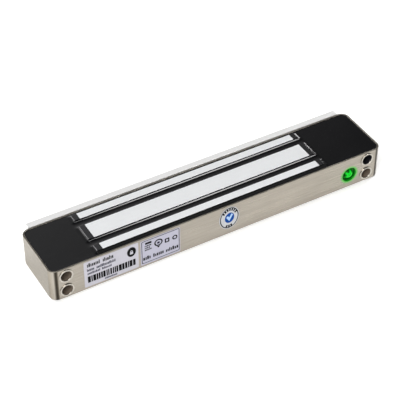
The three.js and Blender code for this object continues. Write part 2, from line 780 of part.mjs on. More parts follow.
const sideNames = ['left', 'right'];
const heightNames = ['lower', 'upper'];
SLEEVE_X.forEach((x, side) => {
  SLEEVE_Z.forEach((z, height) => {
    const name = `sleeve_${sideNames[side]}_${heightNames[height]}`;
    lock.add(piece(name, sleeve(), 'zinc', [x, 0, z]));
  });
  lock.add(piece(`fixing_screw_${sideNames[side]}`, fixingScrew(), 'screw_steel', [x, 0, SLEEVE_Z[0]]));
});

const electronics = new THREE.Group();
electronics.add(piece('circuit_board', surface(circuitBoard()), 'board_green'));
electronics.add(piece('bond_relay', surface(mouldedBody(RELAY)), 'component_black'));
electronics.add(piece('bond_sensor', surface(mouldedBody(SENSOR)), 'component_black'));
const discPlace = [SUPPRESSOR.x, 0, SUPPRESSOR.z];
electronics.add(piece('surge_suppressor', surgeSuppressor(), 'suppressor_blue', discPlace));
const diode = piece('flyback_diode', flybackDiode(), 'component_black');
diode.rotation.x = Math.PI / 2;
diode.position.set(DIODE.x, BOARD_BACK + CLEARANCE + DIODE.radius, DIODE.z);
electronics.add(diode);
electronics.add(piece('coil_lead_start', coilLead(), 'wire_red', [0, 0, COIL_LEAD_Z[0]]));
electronics.add(piece('coil_lead_finish', coilLead(), 'component_black', [0, 0, COIL_LEAD_Z[1]]));
electronics.add(piece('lamp_holder', lampHolder(), 'lamp_dish', [LAMP_X, 0, LAMP_Z]));
electronics.add(piece('status_led', statusLed(), 'lamp_green', [LAMP_X, 0, LAMP_Z]));
['led_lead_anode', 'led_lead_cathode'].forEach((name, index) => {
  electronics.add(piece(name, ledLead(), 'zinc', [leadPlaces()[index], 0, LAMP_Z]));
});
lock.add(electronics);

lock.add(piece('cable_grommet', cableGrommet(), 'rubber', [INLET_X, 0, INLET_Z]));
lock.add(piece('mounting_plate', surface(mountingPlate()), 'aluminium'));
lock.add(piece('rating_label', surface(label(RATING_LABEL)), 'label_white'));
lock.add(piece('approval_label', surface(label(APPROVAL_LABEL)), 'label_silver'));
lock.add(piece('inspection_sticker', surface(ovalSticker()), 'sticker_blue'));

export default lock;
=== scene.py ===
# %% [markdown]
# # A surface-mounted magnetic door lock
# An electromagnet is screwed to a door frame, and it holds a steel plate on the door.
# The magnet is an E-shaped stack of steel sheets in a brushed stainless case, filled up with black resin.
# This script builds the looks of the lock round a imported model, which gives every part's place and size.
# It works in millimetres, because a maker's drawing does, and turns them to metres when a mesh is finished.

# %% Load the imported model
import math
import random

import bmesh
import bpy
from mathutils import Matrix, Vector
from mathutils.geometry import delaunay_2d_cdt


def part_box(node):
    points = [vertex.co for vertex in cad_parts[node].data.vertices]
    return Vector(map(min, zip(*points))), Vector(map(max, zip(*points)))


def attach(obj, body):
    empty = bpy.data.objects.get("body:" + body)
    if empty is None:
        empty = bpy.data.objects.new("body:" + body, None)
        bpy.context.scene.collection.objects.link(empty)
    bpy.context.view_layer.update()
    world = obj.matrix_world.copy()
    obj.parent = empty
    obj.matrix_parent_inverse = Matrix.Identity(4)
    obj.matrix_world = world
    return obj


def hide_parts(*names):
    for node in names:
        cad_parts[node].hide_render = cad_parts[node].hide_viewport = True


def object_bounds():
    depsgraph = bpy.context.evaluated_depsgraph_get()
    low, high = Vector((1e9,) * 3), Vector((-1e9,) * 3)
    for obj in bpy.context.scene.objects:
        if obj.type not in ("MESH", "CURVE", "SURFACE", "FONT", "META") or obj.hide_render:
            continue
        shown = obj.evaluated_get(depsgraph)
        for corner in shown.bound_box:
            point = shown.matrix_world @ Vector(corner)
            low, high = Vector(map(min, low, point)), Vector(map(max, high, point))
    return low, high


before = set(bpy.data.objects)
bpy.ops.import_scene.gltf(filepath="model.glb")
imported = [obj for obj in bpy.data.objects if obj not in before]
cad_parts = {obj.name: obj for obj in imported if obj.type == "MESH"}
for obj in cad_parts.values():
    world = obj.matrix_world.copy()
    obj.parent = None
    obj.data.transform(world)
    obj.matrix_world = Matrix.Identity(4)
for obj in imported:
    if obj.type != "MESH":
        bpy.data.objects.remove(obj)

MM = 0.001
cad_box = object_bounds()


def box_mm(node):
    """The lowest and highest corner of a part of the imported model, in millimetres."""
    low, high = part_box(node)
    return low / MM, high / MM


def centre_of(name):
    """The middle of a part as seen from the front, in X and Z."""
    low, high = box_mm(name)
    return (low.x + high.x) / 2, (low.z + high.z) / 2


case_low, case_high = box_mm("case_shell")
print("parts in the packed model:", len(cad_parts))
print("case, mm:", [round(side, 2) for side in case_high - case_low])

# %% [markdown]
# ## Camera
# A long lens from a metre away shows a small product with little distortion, as in a catalogue.
# The camera stands in front and to the left, and looks down at about 41 degrees.

# %% Set up the camera
AZIMUTH = math.radians(30)
ELEVATION = math.radians(41.2)
DISTANCE = 950.5
LENS = 128.3
AIM_OFF_CENTRE = Vector((-3.1, 1.7, -0.2))


def look_at(thing, target):
    """Turns a camera or a light so that it points at a place."""
    thing.rotation_euler = (target - thing.location).to_track_quat("-Z", "Y").to_euler()


middle = (cad_box[0] + cad_box[1]) / 2
aim = middle + AIM_OFF_CENTRE * MM
towards_camera = Vector((
    -math.sin(AZIMUTH) * math.cos(ELEVATION),
    -math.cos(AZIMUTH) * math.cos(ELEVATION),
    math.sin(ELEVATION),
))
camera = bpy.data.objects.new("camera", bpy.data.cameras.new("camera"))
camera.data.lens = LENS
camera.location = aim + towards_camera * DISTANCE * MM
look_at(camera, aim)
camera.data.clip_start = 0.05
bpy.context.scene.collection.objects.link(camera)
bpy.context.scene.camera = camera
print("camera at", [round(value, 3) for value in camera.location])

# %% [markdown]
# ## Colours and materials
# Colours are written as the hex values that a paint picker shows, which are sRGB. Blender calculates in
# linear light, so one function turns them.
# Each material is a Principled shader with patterns made by nodes. All patterns read one measure of place,
# in millimetres, so that the size of a grain or a ripple can be given as on the real thing.


# %% Helpers for materials
def colour(hex_value):
    """An sRGB hex colour as linear red, green, blue and alpha."""
    channels = [int(hex_value[i:i + 2], 16) / 255 for i in (0, 2, 4)]
    linear = [c / 12.92 if c <= 0.04045 else ((c + 0.055) / 1.055) ** 2.4 for c in channels]
    return (*linear, 1)


def add(tree, kind, inputs=None, **settings):
    """Adds a node. Each input is a value, or the output of another node that feeds it."""
    node = tree.nodes.new(kind)
    for name, value in settings.items():
        setattr(node, name, value)
    for socket, value in (inputs or {}).items():
        if isinstance(value, bpy.types.NodeSocket):
            tree.links.new(value, node.inputs[socket])
        else:
            node.inputs[socket].default_value = value
    return node


def start_material(name, **values):
    """A material, its nodes, its shader and the place in millimetres. Values go to the shader's sockets."""
    material = bpy.data.materials.new(name)
    material.use_nodes = True
    tree = material.node_tree
    shader = tree.nodes["Principled BSDF"]
    for socket, value in values.items():
        shader.inputs[socket.replace("_", " ")].default_value = value
    place = add(tree, "ShaderNodeTexCoord").outputs["Object"]
    place = add(tree, "ShaderNodeVectorMath", {0: place, "Scale": 1 / MM}, operation="SCALE").outputs[0]
    return material, tree, shader, place


def between(tree, factor, low, high):
    """The colour or number between two, picked by a factor that a pattern gives."""
    if isinstance(low, tuple):
        ramp = add(tree, "ShaderNodeValToRGB", {"Fac": factor})
        ramp.color_ramp.elements[0].color = low
        ramp.color_ramp.elements[1].color = high
        return ramp.outputs["Color"]
    return add(tree, "ShaderNodeMapRange", {
        "Value": factor, "To Min": low, "To Max": high,
    }).outputs["Result"]


def gradient(tree, factor, stops):
    """A colour that runs through several stops, each a position and a hex colour."""
    ramp = add(tree, "ShaderNodeValToRGB", {"Fac": factor})
    elements = ramp.color_ramp.elements
    elements[0].position, elements[1].position = stops[0][0], stops[-1][0]
    for position, _ in stops[1:-1]:
        elements.new(position)
    for element, (_, hex_value) in zip(elements, stops):
        element.color = colour(hex_value)
    return ramp.outputs["Color"]


def ripple(tree, shader, height, depth_mm, strength=1.0):
    """Turns a pattern into small bumps of a real depth."""
    bump = add(tree, "ShaderNodeBump", {"Height": height, "Distance": depth_mm * MM, "Strength": strength})
    tree.links.new(bump.outputs["Normal"], shader.inputs["Normal"])


led_low, led_high = box_mm("status_led")
lamp_centre = (led_low + led_high) / 2
dome_radius = (led_high.x - led_low.x) / 2


def about_lamp(tree, place):
    """The distance from the lamp's axis in millimetres, and the angle about it."""
    flat = Vector((1, 0, 1))
    offset = add(tree, "ShaderNodeVectorMath", {0: place, 1: lamp_centre}, operation="SUBTRACT").outputs[0]
    offset = add(tree, "ShaderNodeVectorMath", {0: offset, 1: flat}, operation="MULTIPLY").outputs[0]
    distance = add(tree, "ShaderNodeVectorMath", {0: offset}, operation="LENGTH").outputs["Value"]
    parts = add(tree, "ShaderNodeSeparateXYZ", {0: offset}).outputs
    angle = add(tree, "ShaderNodeMath", {0: parts["Z"], 1: parts["X"]}, operation="ARCTAN2").outputs[0]
    return distance, angle


# %% [markdown]
# ## Brushed stainless steel
# The case is stainless sheet with a satin brushed finish: an abrasive belt has run along its length, and
# round its ends. The eye sees fine streaks that run level, a soft blurred reflection, and a warm grey.
# Real scratches are about 0.05 mm wide. They are drawn 0.5 mm wide here, so that they show at this distance.
# The streaks are noise that is stretched along the brushing. On the ends the brushing runs along Y instead
# of X, so a second noise takes over where the surface faces along X.
# A round corner mirrors the whole room in a narrow strip, so it shows light and dark bands. A blurred metal
# under a few lights would lose them, so they are painted by how far the surface faces sideways.
# The lamp tints the steel round its hole green. That is painted too, on the front wall only, since the cable
# inlet lies right behind the lamp in the back wall.


# %% Brushed stainless steel
SCRATCH_WIDTH = 0.5
SCRATCH_LENGTH = 30
CLOUD_SIZE = 35
GLOW_FROM, GLOW_TO = 5.2, 8.0
GLOW_TINT, GLOW_LIGHT = 0.85, 0.3
# How far the surface faces sideways, from 0 on the long sides to 1 on the ends, and the tone there.
BEND_TONES = [(0.0, "f4f3f2"), (0.06, "f4f3f2"), (0.16, "8f8b84"), (0.3, "474540"), (0.45, "6a6762"),
              (0.62, "ffffff"), (0.84, "f2f0ec"), (1.0, "cfccc6")]


def brushed_stainless():
    material, tree, shader, place = start_material("satin_brushed_stainless", Metallic=1.0)
    facing = add(tree, "ShaderNodeNewGeometry").outputs["Normal"]
    facing = add(tree, "ShaderNodeSeparateXYZ", {0: facing}).outputs["X"]
    sideways = add(tree, "ShaderNodeMath", {0: facing}, operation="ABSOLUTE").outputs[0]
    depth = add(tree, "ShaderNodeSeparateXYZ", {0: place}).outputs["Y"]
    in_front = add(tree, "ShaderNodeMath", {0: depth, 1: 0.0}, operation="LESS_THAN").outputs[0]
    end_on = add(tree, "ShaderNodeMath", {0: sideways, 1: 0.7}, operation="GREATER_THAN").outputs[0]
    streaks = []
    for along, across in ((SCRATCH_LENGTH, SCRATCH_WIDTH), (SCRATCH_WIDTH, SCRATCH_LENGTH)):
        stretch = Vector((1 / along, 1 / across, 1 / SCRATCH_WIDTH))
        stretched = add(tree, "ShaderNodeVectorMath", {
            0: place, 1: stretch,
        }, operation="MULTIPLY").outputs[0]
        streaks.append(add(tree, "ShaderNodeTexNoise", {
            "Vector": stretched, "Scale": 1.0, "Detail": 4.0, "Roughness": 0.6,
        }).outputs["Fac"])
    grain = add(tree, "ShaderNodeMix", {
        "Factor": end_on, "A": streaks[0], "B": streaks[1],
    }).outputs["Result"]
    cloud = add(tree, "ShaderNodeTexNoise", {
        "Vector": place, "Scale": 1 / CLOUD_SIZE, "Detail": 2.0,
    }).outputs["Fac"]
    mixed = add(tree, "ShaderNodeMix", {"Factor": 0.3, "A": grain, "B": cloud}).outputs["Result"]
    sharper = add(tree, "ShaderNodeMapRange", {
        "Value": mixed, "From Min": 0.3, "From Max": 0.7,
    }).outputs["Result"]
    base = between(tree, sharper, colour("a29c92"), colour("bbb4a9"))
    bend = gradient(tree, sideways, BEND_TONES)
    base = add(tree, "ShaderNodeMix", {
        "Factor": 1.0, "A": base, "B": bend,
    }, data_type="RGBA", blend_type="MULTIPLY").outputs["Result"]
    tree.links.new(between(tree, sharper, 0.34, 0.25), shader.inputs["Roughness"])
    distance, _ = about_lamp(tree, place)
    glow = add(tree, "ShaderNodeMapRange", {
        "Value": distance, "From Min": GLOW_FROM, "From Max": GLOW_TO, "To Min": GLOW_TINT, "To Max": 0.0,
    }, interpolation_type="SMOOTHSTEP").outputs["Result"]
    glow = add(tree, "ShaderNodeMath", {0: glow, 1: in_front}, operation="MULTIPLY").outputs[0]
    base = add(tree, "ShaderNodeMix", {"Factor": glow, "A": base, "B": colour("2f9a2c")}, data_type="RGBA")
    tree.links.new(base.outputs["Result"], shader.inputs["Base Color"])
    lit = add(tree, "ShaderNodeMath", {0: glow, 1: GLOW_LIGHT}, operation="MULTIPLY").outputs[0]
    tree.links.new(lit, shader.inputs["Emission Strength"])
    shader.inputs["Emission Color"].default_value = colour("00e020")
    ripple(tree, shader, grain, 0.02, 0.5)
    return material


stainless = brushed_stainless()
print("finish:", stainless.name)

# %% [markdown]
# ## Black potting resin
# The case is filled with black two-part epoxy that levels itself as it sets. It comes out glossy, with a
# slow unevenness, a few specks of dust, and a dull bloom here and there.
# Its gloss is weaker than clean epoxy's, so the specular level is under the usual 0.5.


# %% Black potting resin
def potting_epoxy():
    material, tree, shader, place = start_material("black_potting_epoxy", IOR=1.5, Specular_IOR_Level=0.4)
    waves = add(tree, "ShaderNodeTexNoise", {"Vector": place, "Scale": 1 / 9, "Detail": 1.0}).outputs["Fac"]
    bloom = add(tree, "ShaderNodeTexNoise", {"Vector": place, "Scale": 1 / 22, "Detail": 4.0}).outputs["Fac"]
    dust = add(tree, "ShaderNodeTexVoronoi", {"Vector": place, "Scale": 1 / 1.6}).outputs["Distance"]
    speck = add(tree, "ShaderNodeMapRange", {
        "Value": dust, "From Min": 0.05, "From Max": 0.09, "To Min": 1.0, "To Max": 0.0,
    }).outputs["Result"]
    base = between(tree, bloom, colour("08080a"), colour("0e0e10"))
    dusty = add(tree, "ShaderNodeMix", {"Factor": speck, "A": base, "B": colour("303032")}, data_type="RGBA")
    tree.links.new(dusty.outputs["Result"], shader.inputs["Base Color"])
    tree.links.new(between(tree, bloom, 0.08, 0.14), shader.inputs["Roughness"])
    ripple(tree, shader, waves, 0.05)
    return material


resin = potting_epoxy()
print("finish:", resin.name)

# %% [markdown]
# ## Ground pole faces and lacquered sides
# The magnet core is a stack of 0.5 mm silicon steel sheets. Its pole faces are ground flat and plated, so
# they are almost white, with a faint line at each joint between sheets and a cross-hatch left by the
# grinding wheel. The sides of the stack are dipped in black lacquer.
# Two materials are used, one for the ground faces and one for the rest, as the real parts are two finishes.


# %% Ground steel and black lacquer
SHEET_OF_STACK = 0.5


def ground_steel():
    material, tree, shader, place = start_material("ground_plated_silicon_steel", Metallic=0.35)
    across = add(tree, "ShaderNodeSeparateXYZ", {0: place}).outputs["X"]
    turns = add(tree, "ShaderNodeMath", {
        0: across, 1: 1 / SHEET_OF_STACK,
    }, operation="MULTIPLY").outputs[0]
    joint = add(tree, "ShaderNodeMath", {0: turns, 1: 1.0}, operation="PINGPONG").outputs[0]
    joint = add(tree, "ShaderNodeMath", {0: joint, 1: 0.12}, operation="LESS_THAN").outputs[0]
    grain = Vector((1 / 2.5, 1 / 0.3, 1.0))
    stretched = add(tree, "ShaderNodeVectorMath", {0: place, 1: grain}, operation="MULTIPLY").outputs[0]
    ground = add(tree, "ShaderNodeTexNoise", {
        "Vector": stretched, "Scale": 1.0, "Detail": 3.0,
    }).outputs["Fac"]
    patchy = add(tree, "ShaderNodeTexNoise", {"Vector": place, "Scale": 1 / 14, "Detail": 3.0}).outputs["Fac"]
    tone = add(tree, "ShaderNodeMix", {"Factor": 0.5, "A": ground, "B": patchy}).outputs["Result"]
    base = between(tree, tone, colour("dfe1e3"), colour("f1f2f3"))
    faint = add(tree, "ShaderNodeMath", {0: joint, 1: 0.12}, operation="MULTIPLY").outputs[0]
    lined = add(tree, "ShaderNodeMix", {"Factor": faint, "A": base, "B": colour("8d9192")}, data_type="RGBA")
    tree.links.new(lined.outputs["Result"], shader.inputs["Base Color"])
    tree.links.new(between(tree, ground, 0.42, 0.3), shader.inputs["Roughness"])
    ripple(tree, shader, ground, 0.01, 0.4)
    return material


def black_lacquer():
    material, tree, shader, place = start_material(
        "black_dipping_lacquer", Roughness=0.5, IOR=1.5, Specular_IOR_Level=0.1,
    )
    sag = add(tree, "ShaderNodeTexNoise", {"Vector": place, "Scale": 1 / 3, "Detail": 2.0}).outputs["Fac"]
    tree.links.new(between(tree, sag, colour("030303"), colour("070708")), shader.inputs["Base Color"])
    ripple(tree, shader, sag, 0.04)
    return material


pole_steel = ground_steel()
lacquer = black_lacquer()
print("finishes:", pole_steel.name, "and", lacquer.name)

# %% [markdown]
# ## Moulded black nylon
# Both ends of the stack are closed by cheeks moulded in glass-filled nylon. A spark-eroded mould leaves a
# fine even grain, about 0.4 mm from crest to crest. The plastic is black with a satin gloss.


# %% Moulded black nylon
def moulded_nylon():
    material, tree, shader, place = start_material("moulded_glass_filled_nylon", IOR=1.53)
    grain = add(tree, "ShaderNodeTexNoise", {"Vector": place, "Scale": 1 / 0.4, "Detail": 2.0}).outputs["Fac"]
    flow = add(tree, "ShaderNodeTexNoise", {"Vector": place, "Scale": 1 / 6, "Detail": 3.0}).outputs["Fac"]
    tree.links.new(between(tree, flow, colour("18181a"), colour("212123")), shader.inputs["Base Color"])
    tree.links.new(between(tree, grain, 0.24, 0.16), shader.inputs["Roughness"])
    ripple(tree, shader, grain, 0.01, 0.4)
    return material


nylon = moulded_nylon()
print("finish:", nylon.name)

# %% [markdown]
# ## Nickel, zinc and screw steel
# The sleeves are steel tube, flared over at the mouth and nickel plated: bright, slightly warm, and dull
# inside where the plating is thin. One bore gets a near-black copy of the bore finish, which is painted
# shade.
# The rivets are zinc plated, a bluish grey.
# The screws are plain stainless, and the lamp's leads are tinned copper. The cut edge of the case's sheet
# is rubbed down across its thickness, so it is darker and duller than the brushed faces.
# They share one function, since each is a metal with soft patches, and differ in colour and gloss.


# %% Plated metals
def plated_metal(name, dull, bright, roughness, patch_mm, metallic=1.0):
    material, tree, shader, place = start_material(name, Metallic=metallic)
    patches = add(tree, "ShaderNodeTexNoise", {
        "Vector": place, "Scale": 1 / patch_mm, "Detail": 4.0, "Roughness": 0.6,
    }).outputs["Fac"]
    fine = add(tree, "ShaderNodeTexNoise", {"Vector": place, "Scale": 1 / 0.3, "Detail": 2.0}).outputs["Fac"]
    tree.links.new(between(tree, patches, colour(dull), colour(bright)), shader.inputs["Base Color"])
    tree.links.new(between(tree, patches, roughness + 0.08, roughness - 0.06), shader.inputs["Roughness"])
    ripple(tree, shader, fine, 0.01, 0.3)
    return material


nickel = plated_metal("bright_nickel_plate", "a39e95", "d0cbc1", 0.16, 2.5)
dull_bore = plated_metal("dull_nickel_in_bore", "6d6055", "9c8e7e", 0.45, 2.5, metallic=0.3)
# A near-black copy of the bore finish for one sleeve: painted shade.
shaded_bore_copy = plated_metal("painted_shade_in_bore", "16161b", "26262c", 0.45, 2.5, metallic=0.25)
zinc = plated_metal("zinc_plate", "a9adb0", "cdd0d2", 0.38, 1.5)
cut_edge = plated_metal("linished_cut_edge", "736e67", "878279", 0.34, 12)
screw_steel = plated_metal("cold_headed_stainless", "6d6760", "8d877f", 0.35, 1.2)
tinned_wire = plated_metal("tinned_copper_wire", "b9bbbd", "d9dadb", 0.3, 0.8)
print("finishes:", nickel.name, zinc.name, screw_steel.name, tinned_wire.name)

# %% [markdown]
# ## Satin anodised aluminium
# The mounting plate is extruded aluminium bar, etched and clear anodised. It looks pale and even, with
# faint lines along the extrusion, and scatters light more than it mirrors.
# The face that goes against the door frame has a darker grey, which is painted shade. Real plates are pale
# there too, but under these lights a pale one burns out to white and loses its holes.


# %% Satin anodised aluminium
def anodised_aluminium():
    material, tree, shader, place = start_material("satin_anodised_aluminium", Metallic=0.45)
    grain = Vector((1 / 60, 1 / 0.6, 1 / 0.6))
    stretched = add(tree, "ShaderNodeVectorMath", {0: place, 1: grain}, operation="MULTIPLY").outputs[0]
    lines = add(tree, "ShaderNodeTexNoise", {
        "Vector": stretched, "Scale": 1.0, "Detail": 3.0,
    }).outputs["Fac"]
    etch = add(tree, "ShaderNodeTexNoise", {"Vector": place, "Scale": 1 / 0.5, "Detail": 2.0}).outputs["Fac"]
    base = between(tree, lines, colour("e0e0df"), colour("ececeb"))
    facing = add(tree, "ShaderNodeNewGeometry").outputs["Normal"]
    facing = add(tree, "ShaderNodeSeparateXYZ", {0: facing}).outputs["Y"]
    # The back face is darkened to a grey: painted shade.
    painted_shade_face = add(tree, "ShaderNodeMath", {0: facing, 1: 0.7}, operation="GREATER_THAN").outputs[0]
    base = add(tree, "ShaderNodeMix", {
        "Factor": painted_shade_face, "A": base, "B": colour("8e8f8f"),
    }, data_type="RGBA")
    tree.links.new(base.outputs["Result"], shader.inputs["Base Color"])
    tree.links.new(between(tree, etch, 0.5, 0.38), shader.inputs["Roughness"])
    ripple(tree, shader, etch, 0.01, 0.4)
    return material


aluminium = anodised_aluminium()
print("finish:", aluminium.name)

# %% [markdown]
# ## The lit lamp
# The lamp is a green LED with a clear epoxy dome. Lit, it is brightest half way out, where the reflector
# cup under the chip is magnified, and that ring is broken into soft rays. The dish that holds it is tinted
# plastic. The lamp's light in the dish is painted: a deep green colour and a weak emission that fade away
# from the dome.
# The dome glows by emission. The rays are a cosine of the angle about the lamp's axis, added to the distance
# from it, and the tones run from the middle of the dome to its edge.


# %% Lamp materials
LAMP_TONES = [(0.0, "00b414"), (0.25, "00c81c"), (0.45, "14f034"), (0.62, "0ce02c"), (0.78, "048414"),
              (1.0, "014008")]
RAYS = 5
RAY_LENGTH = 0.6
DISH_FADE = 1.8


def lit_epoxy():
    material, tree, shader, place = start_material(
        "lit_green_epoxy", Base_Color=colour("012006"), Roughness=0.12, IOR=1.54, Specular_IOR_Level=0.1,
        Emission_Strength=0.95,
    )
    distance, angle = about_lamp(tree, place)
    wave = add(tree, "ShaderNodeMath", {0: angle, 1: RAYS}, operation="MULTIPLY").outputs[0]
    wave = add(tree, "ShaderNodeMath", {0: wave}, operation="COSINE").outputs[0]
    reach = add(tree, "ShaderNodeMath", {
        0: wave, 1: -RAY_LENGTH, 2: distance,
    }, operation="MULTIPLY_ADD").outputs[0]
    reach = add(tree, "ShaderNodeMath", {0: reach, 1: dome_radius}, operation="DIVIDE").outputs[0]
    tree.links.new(gradient(tree, reach, LAMP_TONES), shader.inputs["Emission Color"])
    return material


def dish_with_painted_lamp_light():
    material, tree, shader, place = start_material(
        "green_polycarbonate_painted_lamp_light", Roughness=0.18, IOR=1.58, Specular_IOR_Level=0.2,
        Emission_Strength=0.12,
    )
    # The lamp's light in the dish is painted: colour and emission fade out from the dome.
    distance, _ = about_lamp(tree, place)
    fade = add(tree, "ShaderNodeMapRange", {
        "Value": distance, "From Min": dome_radius, "From Max": dome_radius + DISH_FADE,
    }).outputs["Result"]
    tree.links.new(between(tree, fade, colour("00640c"), colour("002a04")), shader.inputs["Base Color"])
    tree.links.new(between(tree, fade, colour("00c81a"), colour("006a0c")), shader.inputs["Emission Color"])
    return material


lit_dome = lit_epoxy()
dish_plastic = dish_with_painted_lamp_light()
print("finishes:", lit_dome.name, dish_plastic.name)

# %% [markdown]
# ## Rubber, films and inks
# The cable grommet is moulded rubber, matt with a fine grain. The labels are white polyester film, slightly
# glossy with a faint ripple from the adhesive under it. The inks dry matt, so they mirror very little.


# %% Soft and printed materials
def soft_surface(name, dark, light, roughness, grain_mm, depth_mm, **values):
    material, tree, shader, place = start_material(name, Roughness=roughness, **values)
    grain = add(tree, "ShaderNodeTexNoise", {
        "Vector": place, "Scale": 1 / grain_mm, "Detail": 3.0,
    }).outputs["Fac"]
    tree.links.new(between(tree, grain, colour(dark), colour(light)), shader.inputs["Base Color"])
    ripple(tree, shader, grain, depth_mm, 0.5)
    return material


rubber = soft_surface("moulded_rubber", "121213", "1f1f20", 0.75, 0.5, 0.04)
white_film = soft_surface("white_polyester_film", "bcbac3", "c8c6cf", 0.35, 6, 0.02)
silver_film = soft_surface("pale_silver_polyester_film", "b2b1c1", "bfbecd", 0.3, 5, 0.02)
paper = soft_surface("gloss_sticker_paper", "bec0c4", "cacccf", 0.3, 4, 0.02)
black_ink = soft_surface("black_printing_ink", "020203", "060608", 0.6, 0.6, 0.004, Specular_IOR_Level=0.1)
grey_ink = soft_surface("grey_printing_ink", "242434", "343448", 0.6, 0.6, 0.004, Specular_IOR_Level=0.1)
blue_ink = soft_surface("blue_printing_ink", "003c8c", "0550a4", 0.5, 0.8, 0.004, Specular_IOR_Level=0.1)
sky_ink = soft_surface("pale_blue_printing_ink", "9cc4f0", "bcd9f8", 0.4, 0.8, 0.004)
print("finishes:", rubber.name, white_film.name, silver_film.name, paper.name)

# %% [markdown]
# ## Materials of the hidden parts
# Under the resin lie the coil, its bobbin and a small circuit board. They are seldom seen, but the part is
# meant to come apart, so each has its own finish. The winding shows wire by wire: a saw wave 0.5 mm apart
# up the coil. The laminate shows its glass weave as two crossed waves.
# The strip of resin in front of the core has a duller finish and a darker colour, which is painted shade. It
# is the same resin, but its gloss would mirror the lights there and hide the edge of the front leg.


# %% Coil and board materials
WIRE_PITCH = 0.5
WEAVE_PITCH = 0.6


def wound_copper():
    material, tree, shader, place = start_material("enamelled_copper_wire", Metallic=0.9, Roughness=0.3)
    height = add(tree, "ShaderNodeSeparateXYZ", {0: place}).outputs["Z"]
    turns = add(tree, "ShaderNodeMath", {0: height, 1: math.pi / WIRE_PITCH}, operation="MULTIPLY").outputs[0]
    wave = add(tree, "ShaderNodeMath", {0: turns}, operation="SINE").outputs[0]
    crown = add(tree, "ShaderNodeMath", {0: wave}, operation="ABSOLUTE").outputs[0]
    tree.links.new(between(tree, crown, colour("5a2410"), colour("b8602c")), shader.inputs["Base Color"])
    ripple(tree, shader, crown, 0.12)
    return material


def glass_laminate():
    material, tree, shader, place = start_material("green_masked_glass_laminate", Roughness=0.3, IOR=1.55)
    parts = add(tree, "ShaderNodeSeparateXYZ", {0: place}).outputs
    threads = []
    for axis in ("X", "Z"):
        turns = add(tree, "ShaderNodeMath", {
            0: parts[axis], 1: math.pi / WEAVE_PITCH,
        }, operation="MULTIPLY").outputs[0]
        threads.append(add(tree, "ShaderNodeMath", {0: turns}, operation="SINE").outputs[0])
    weave = add(tree, "ShaderNodeMath", {0: threads[0], 1: threads[1]}, operation="MULTIPLY").outputs[0]
    tree.links.new(between(tree, weave, colour("155c30"), colour("1f7540")), shader.inputs["Base Color"])
    ripple(tree, shader, weave, 0.01)
    return material


copper = wound_copper()
laminate = glass_laminate()
coil_tape = soft_surface("yellow_polyester_tape", "c79d26", "dcb745", 0.3, 3, 0.02)
# A darker, duller copy of the resin for the strip in front of the core: painted shade.
resin_strip_painted_shade = soft_surface("dull_potting_epoxy_painted_shade", "040404", "080808", 0.6, 3, 0.03, Specular_IOR_Level=0.15)
bobbin_nylon = soft_surface("moulded_black_nylon", "1d1e22", "2b2c31", 0.55, 0.5, 0.02)
moulding_compound = soft_surface("epoxy_moulding_compound", "1b1c1e", "28292c", 0.6, 0.3, 0.02)
dipped_epoxy = soft_surface("blue_dipped_epoxy", "22539a", "3568b4", 0.35, 2, 0.05)
red_insulation = soft_surface("red_vinyl_insulation", "8f1f1a", "b02e26", 0.45, 1, 0.01)
black_insulation = soft_surface("black_vinyl_insulation", "18181a", "262628", 0.45, 1, 0.01)

HIDDEN_FINISHES = {
    "potting_resin": resin,
    "coil_bobbin": bobbin_nylon,
    "coil_winding": copper,
    "coil_tape": coil_tape,
    "core_rivet_front": zinc,
    "core_rivet_rear": zinc,
    "circuit_board": laminate,
    "bond_relay": moulding_compound,
    "bond_sensor": moulding_compound,
    "surge_suppressor": dipped_epoxy,
    "flyback_diode": moulding_compound,
    "coil_lead_start": red_insulation,
    "coil_lead_finish": black_insulation,
    "led_lead_anode": tinned_wire,
    "led_lead_cathode": tinned_wire,
}
for node_name, finish in HIDDEN_FINISHES.items():
    for node_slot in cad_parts[node_name].material_slots:
        node_slot.material = finish
print("parts kept as they are, with a new finish:", len(HIDDEN_FINISHES))

# %% [markdown]
# ## How a piece is made
# A piece starts as mesh code in millimetres. Holes are cut by a boolean, and edges are broken by a bevel,
# because no real edge is perfectly sharp and a thin bevel catches the light.
# Large flat faces keep a flat look through weighted normals, while curved faces are smoothed.


# %% Helpers for pieces
def to_object(name, mesh_code, finishes=()):
    """A bmesh in millimetres becomes an object in metres."""
    bmesh.ops.remove_doubles(mesh_code, verts=mesh_code.verts, dist=1e-4)
    bmesh.ops.recalc_face_normals(mesh_code, faces=mesh_code.faces)
    bmesh.ops.scale(mesh_code, vec=(MM, MM, MM), verts=mesh_code.verts)
    mesh = bpy.data.meshes.new(name)
    mesh_code.to_mesh(mesh)
    mesh_code.free()
    for finish in finishes:
        mesh.materials.append(finish)
    made = bpy.data.objects.new(name, mesh)
    bpy.context.scene.collection.objects.link(made)
    return made


def apply_modifiers(piece):
    """Keeps the shape that the modifiers give, and drops the modifiers."""
    shown = piece.evaluated_get(bpy.context.evaluated_depsgraph_get())
    shaped = bpy.data.meshes.new_from_object(shown)
    piece.modifiers.clear()
    piece.data = shaped


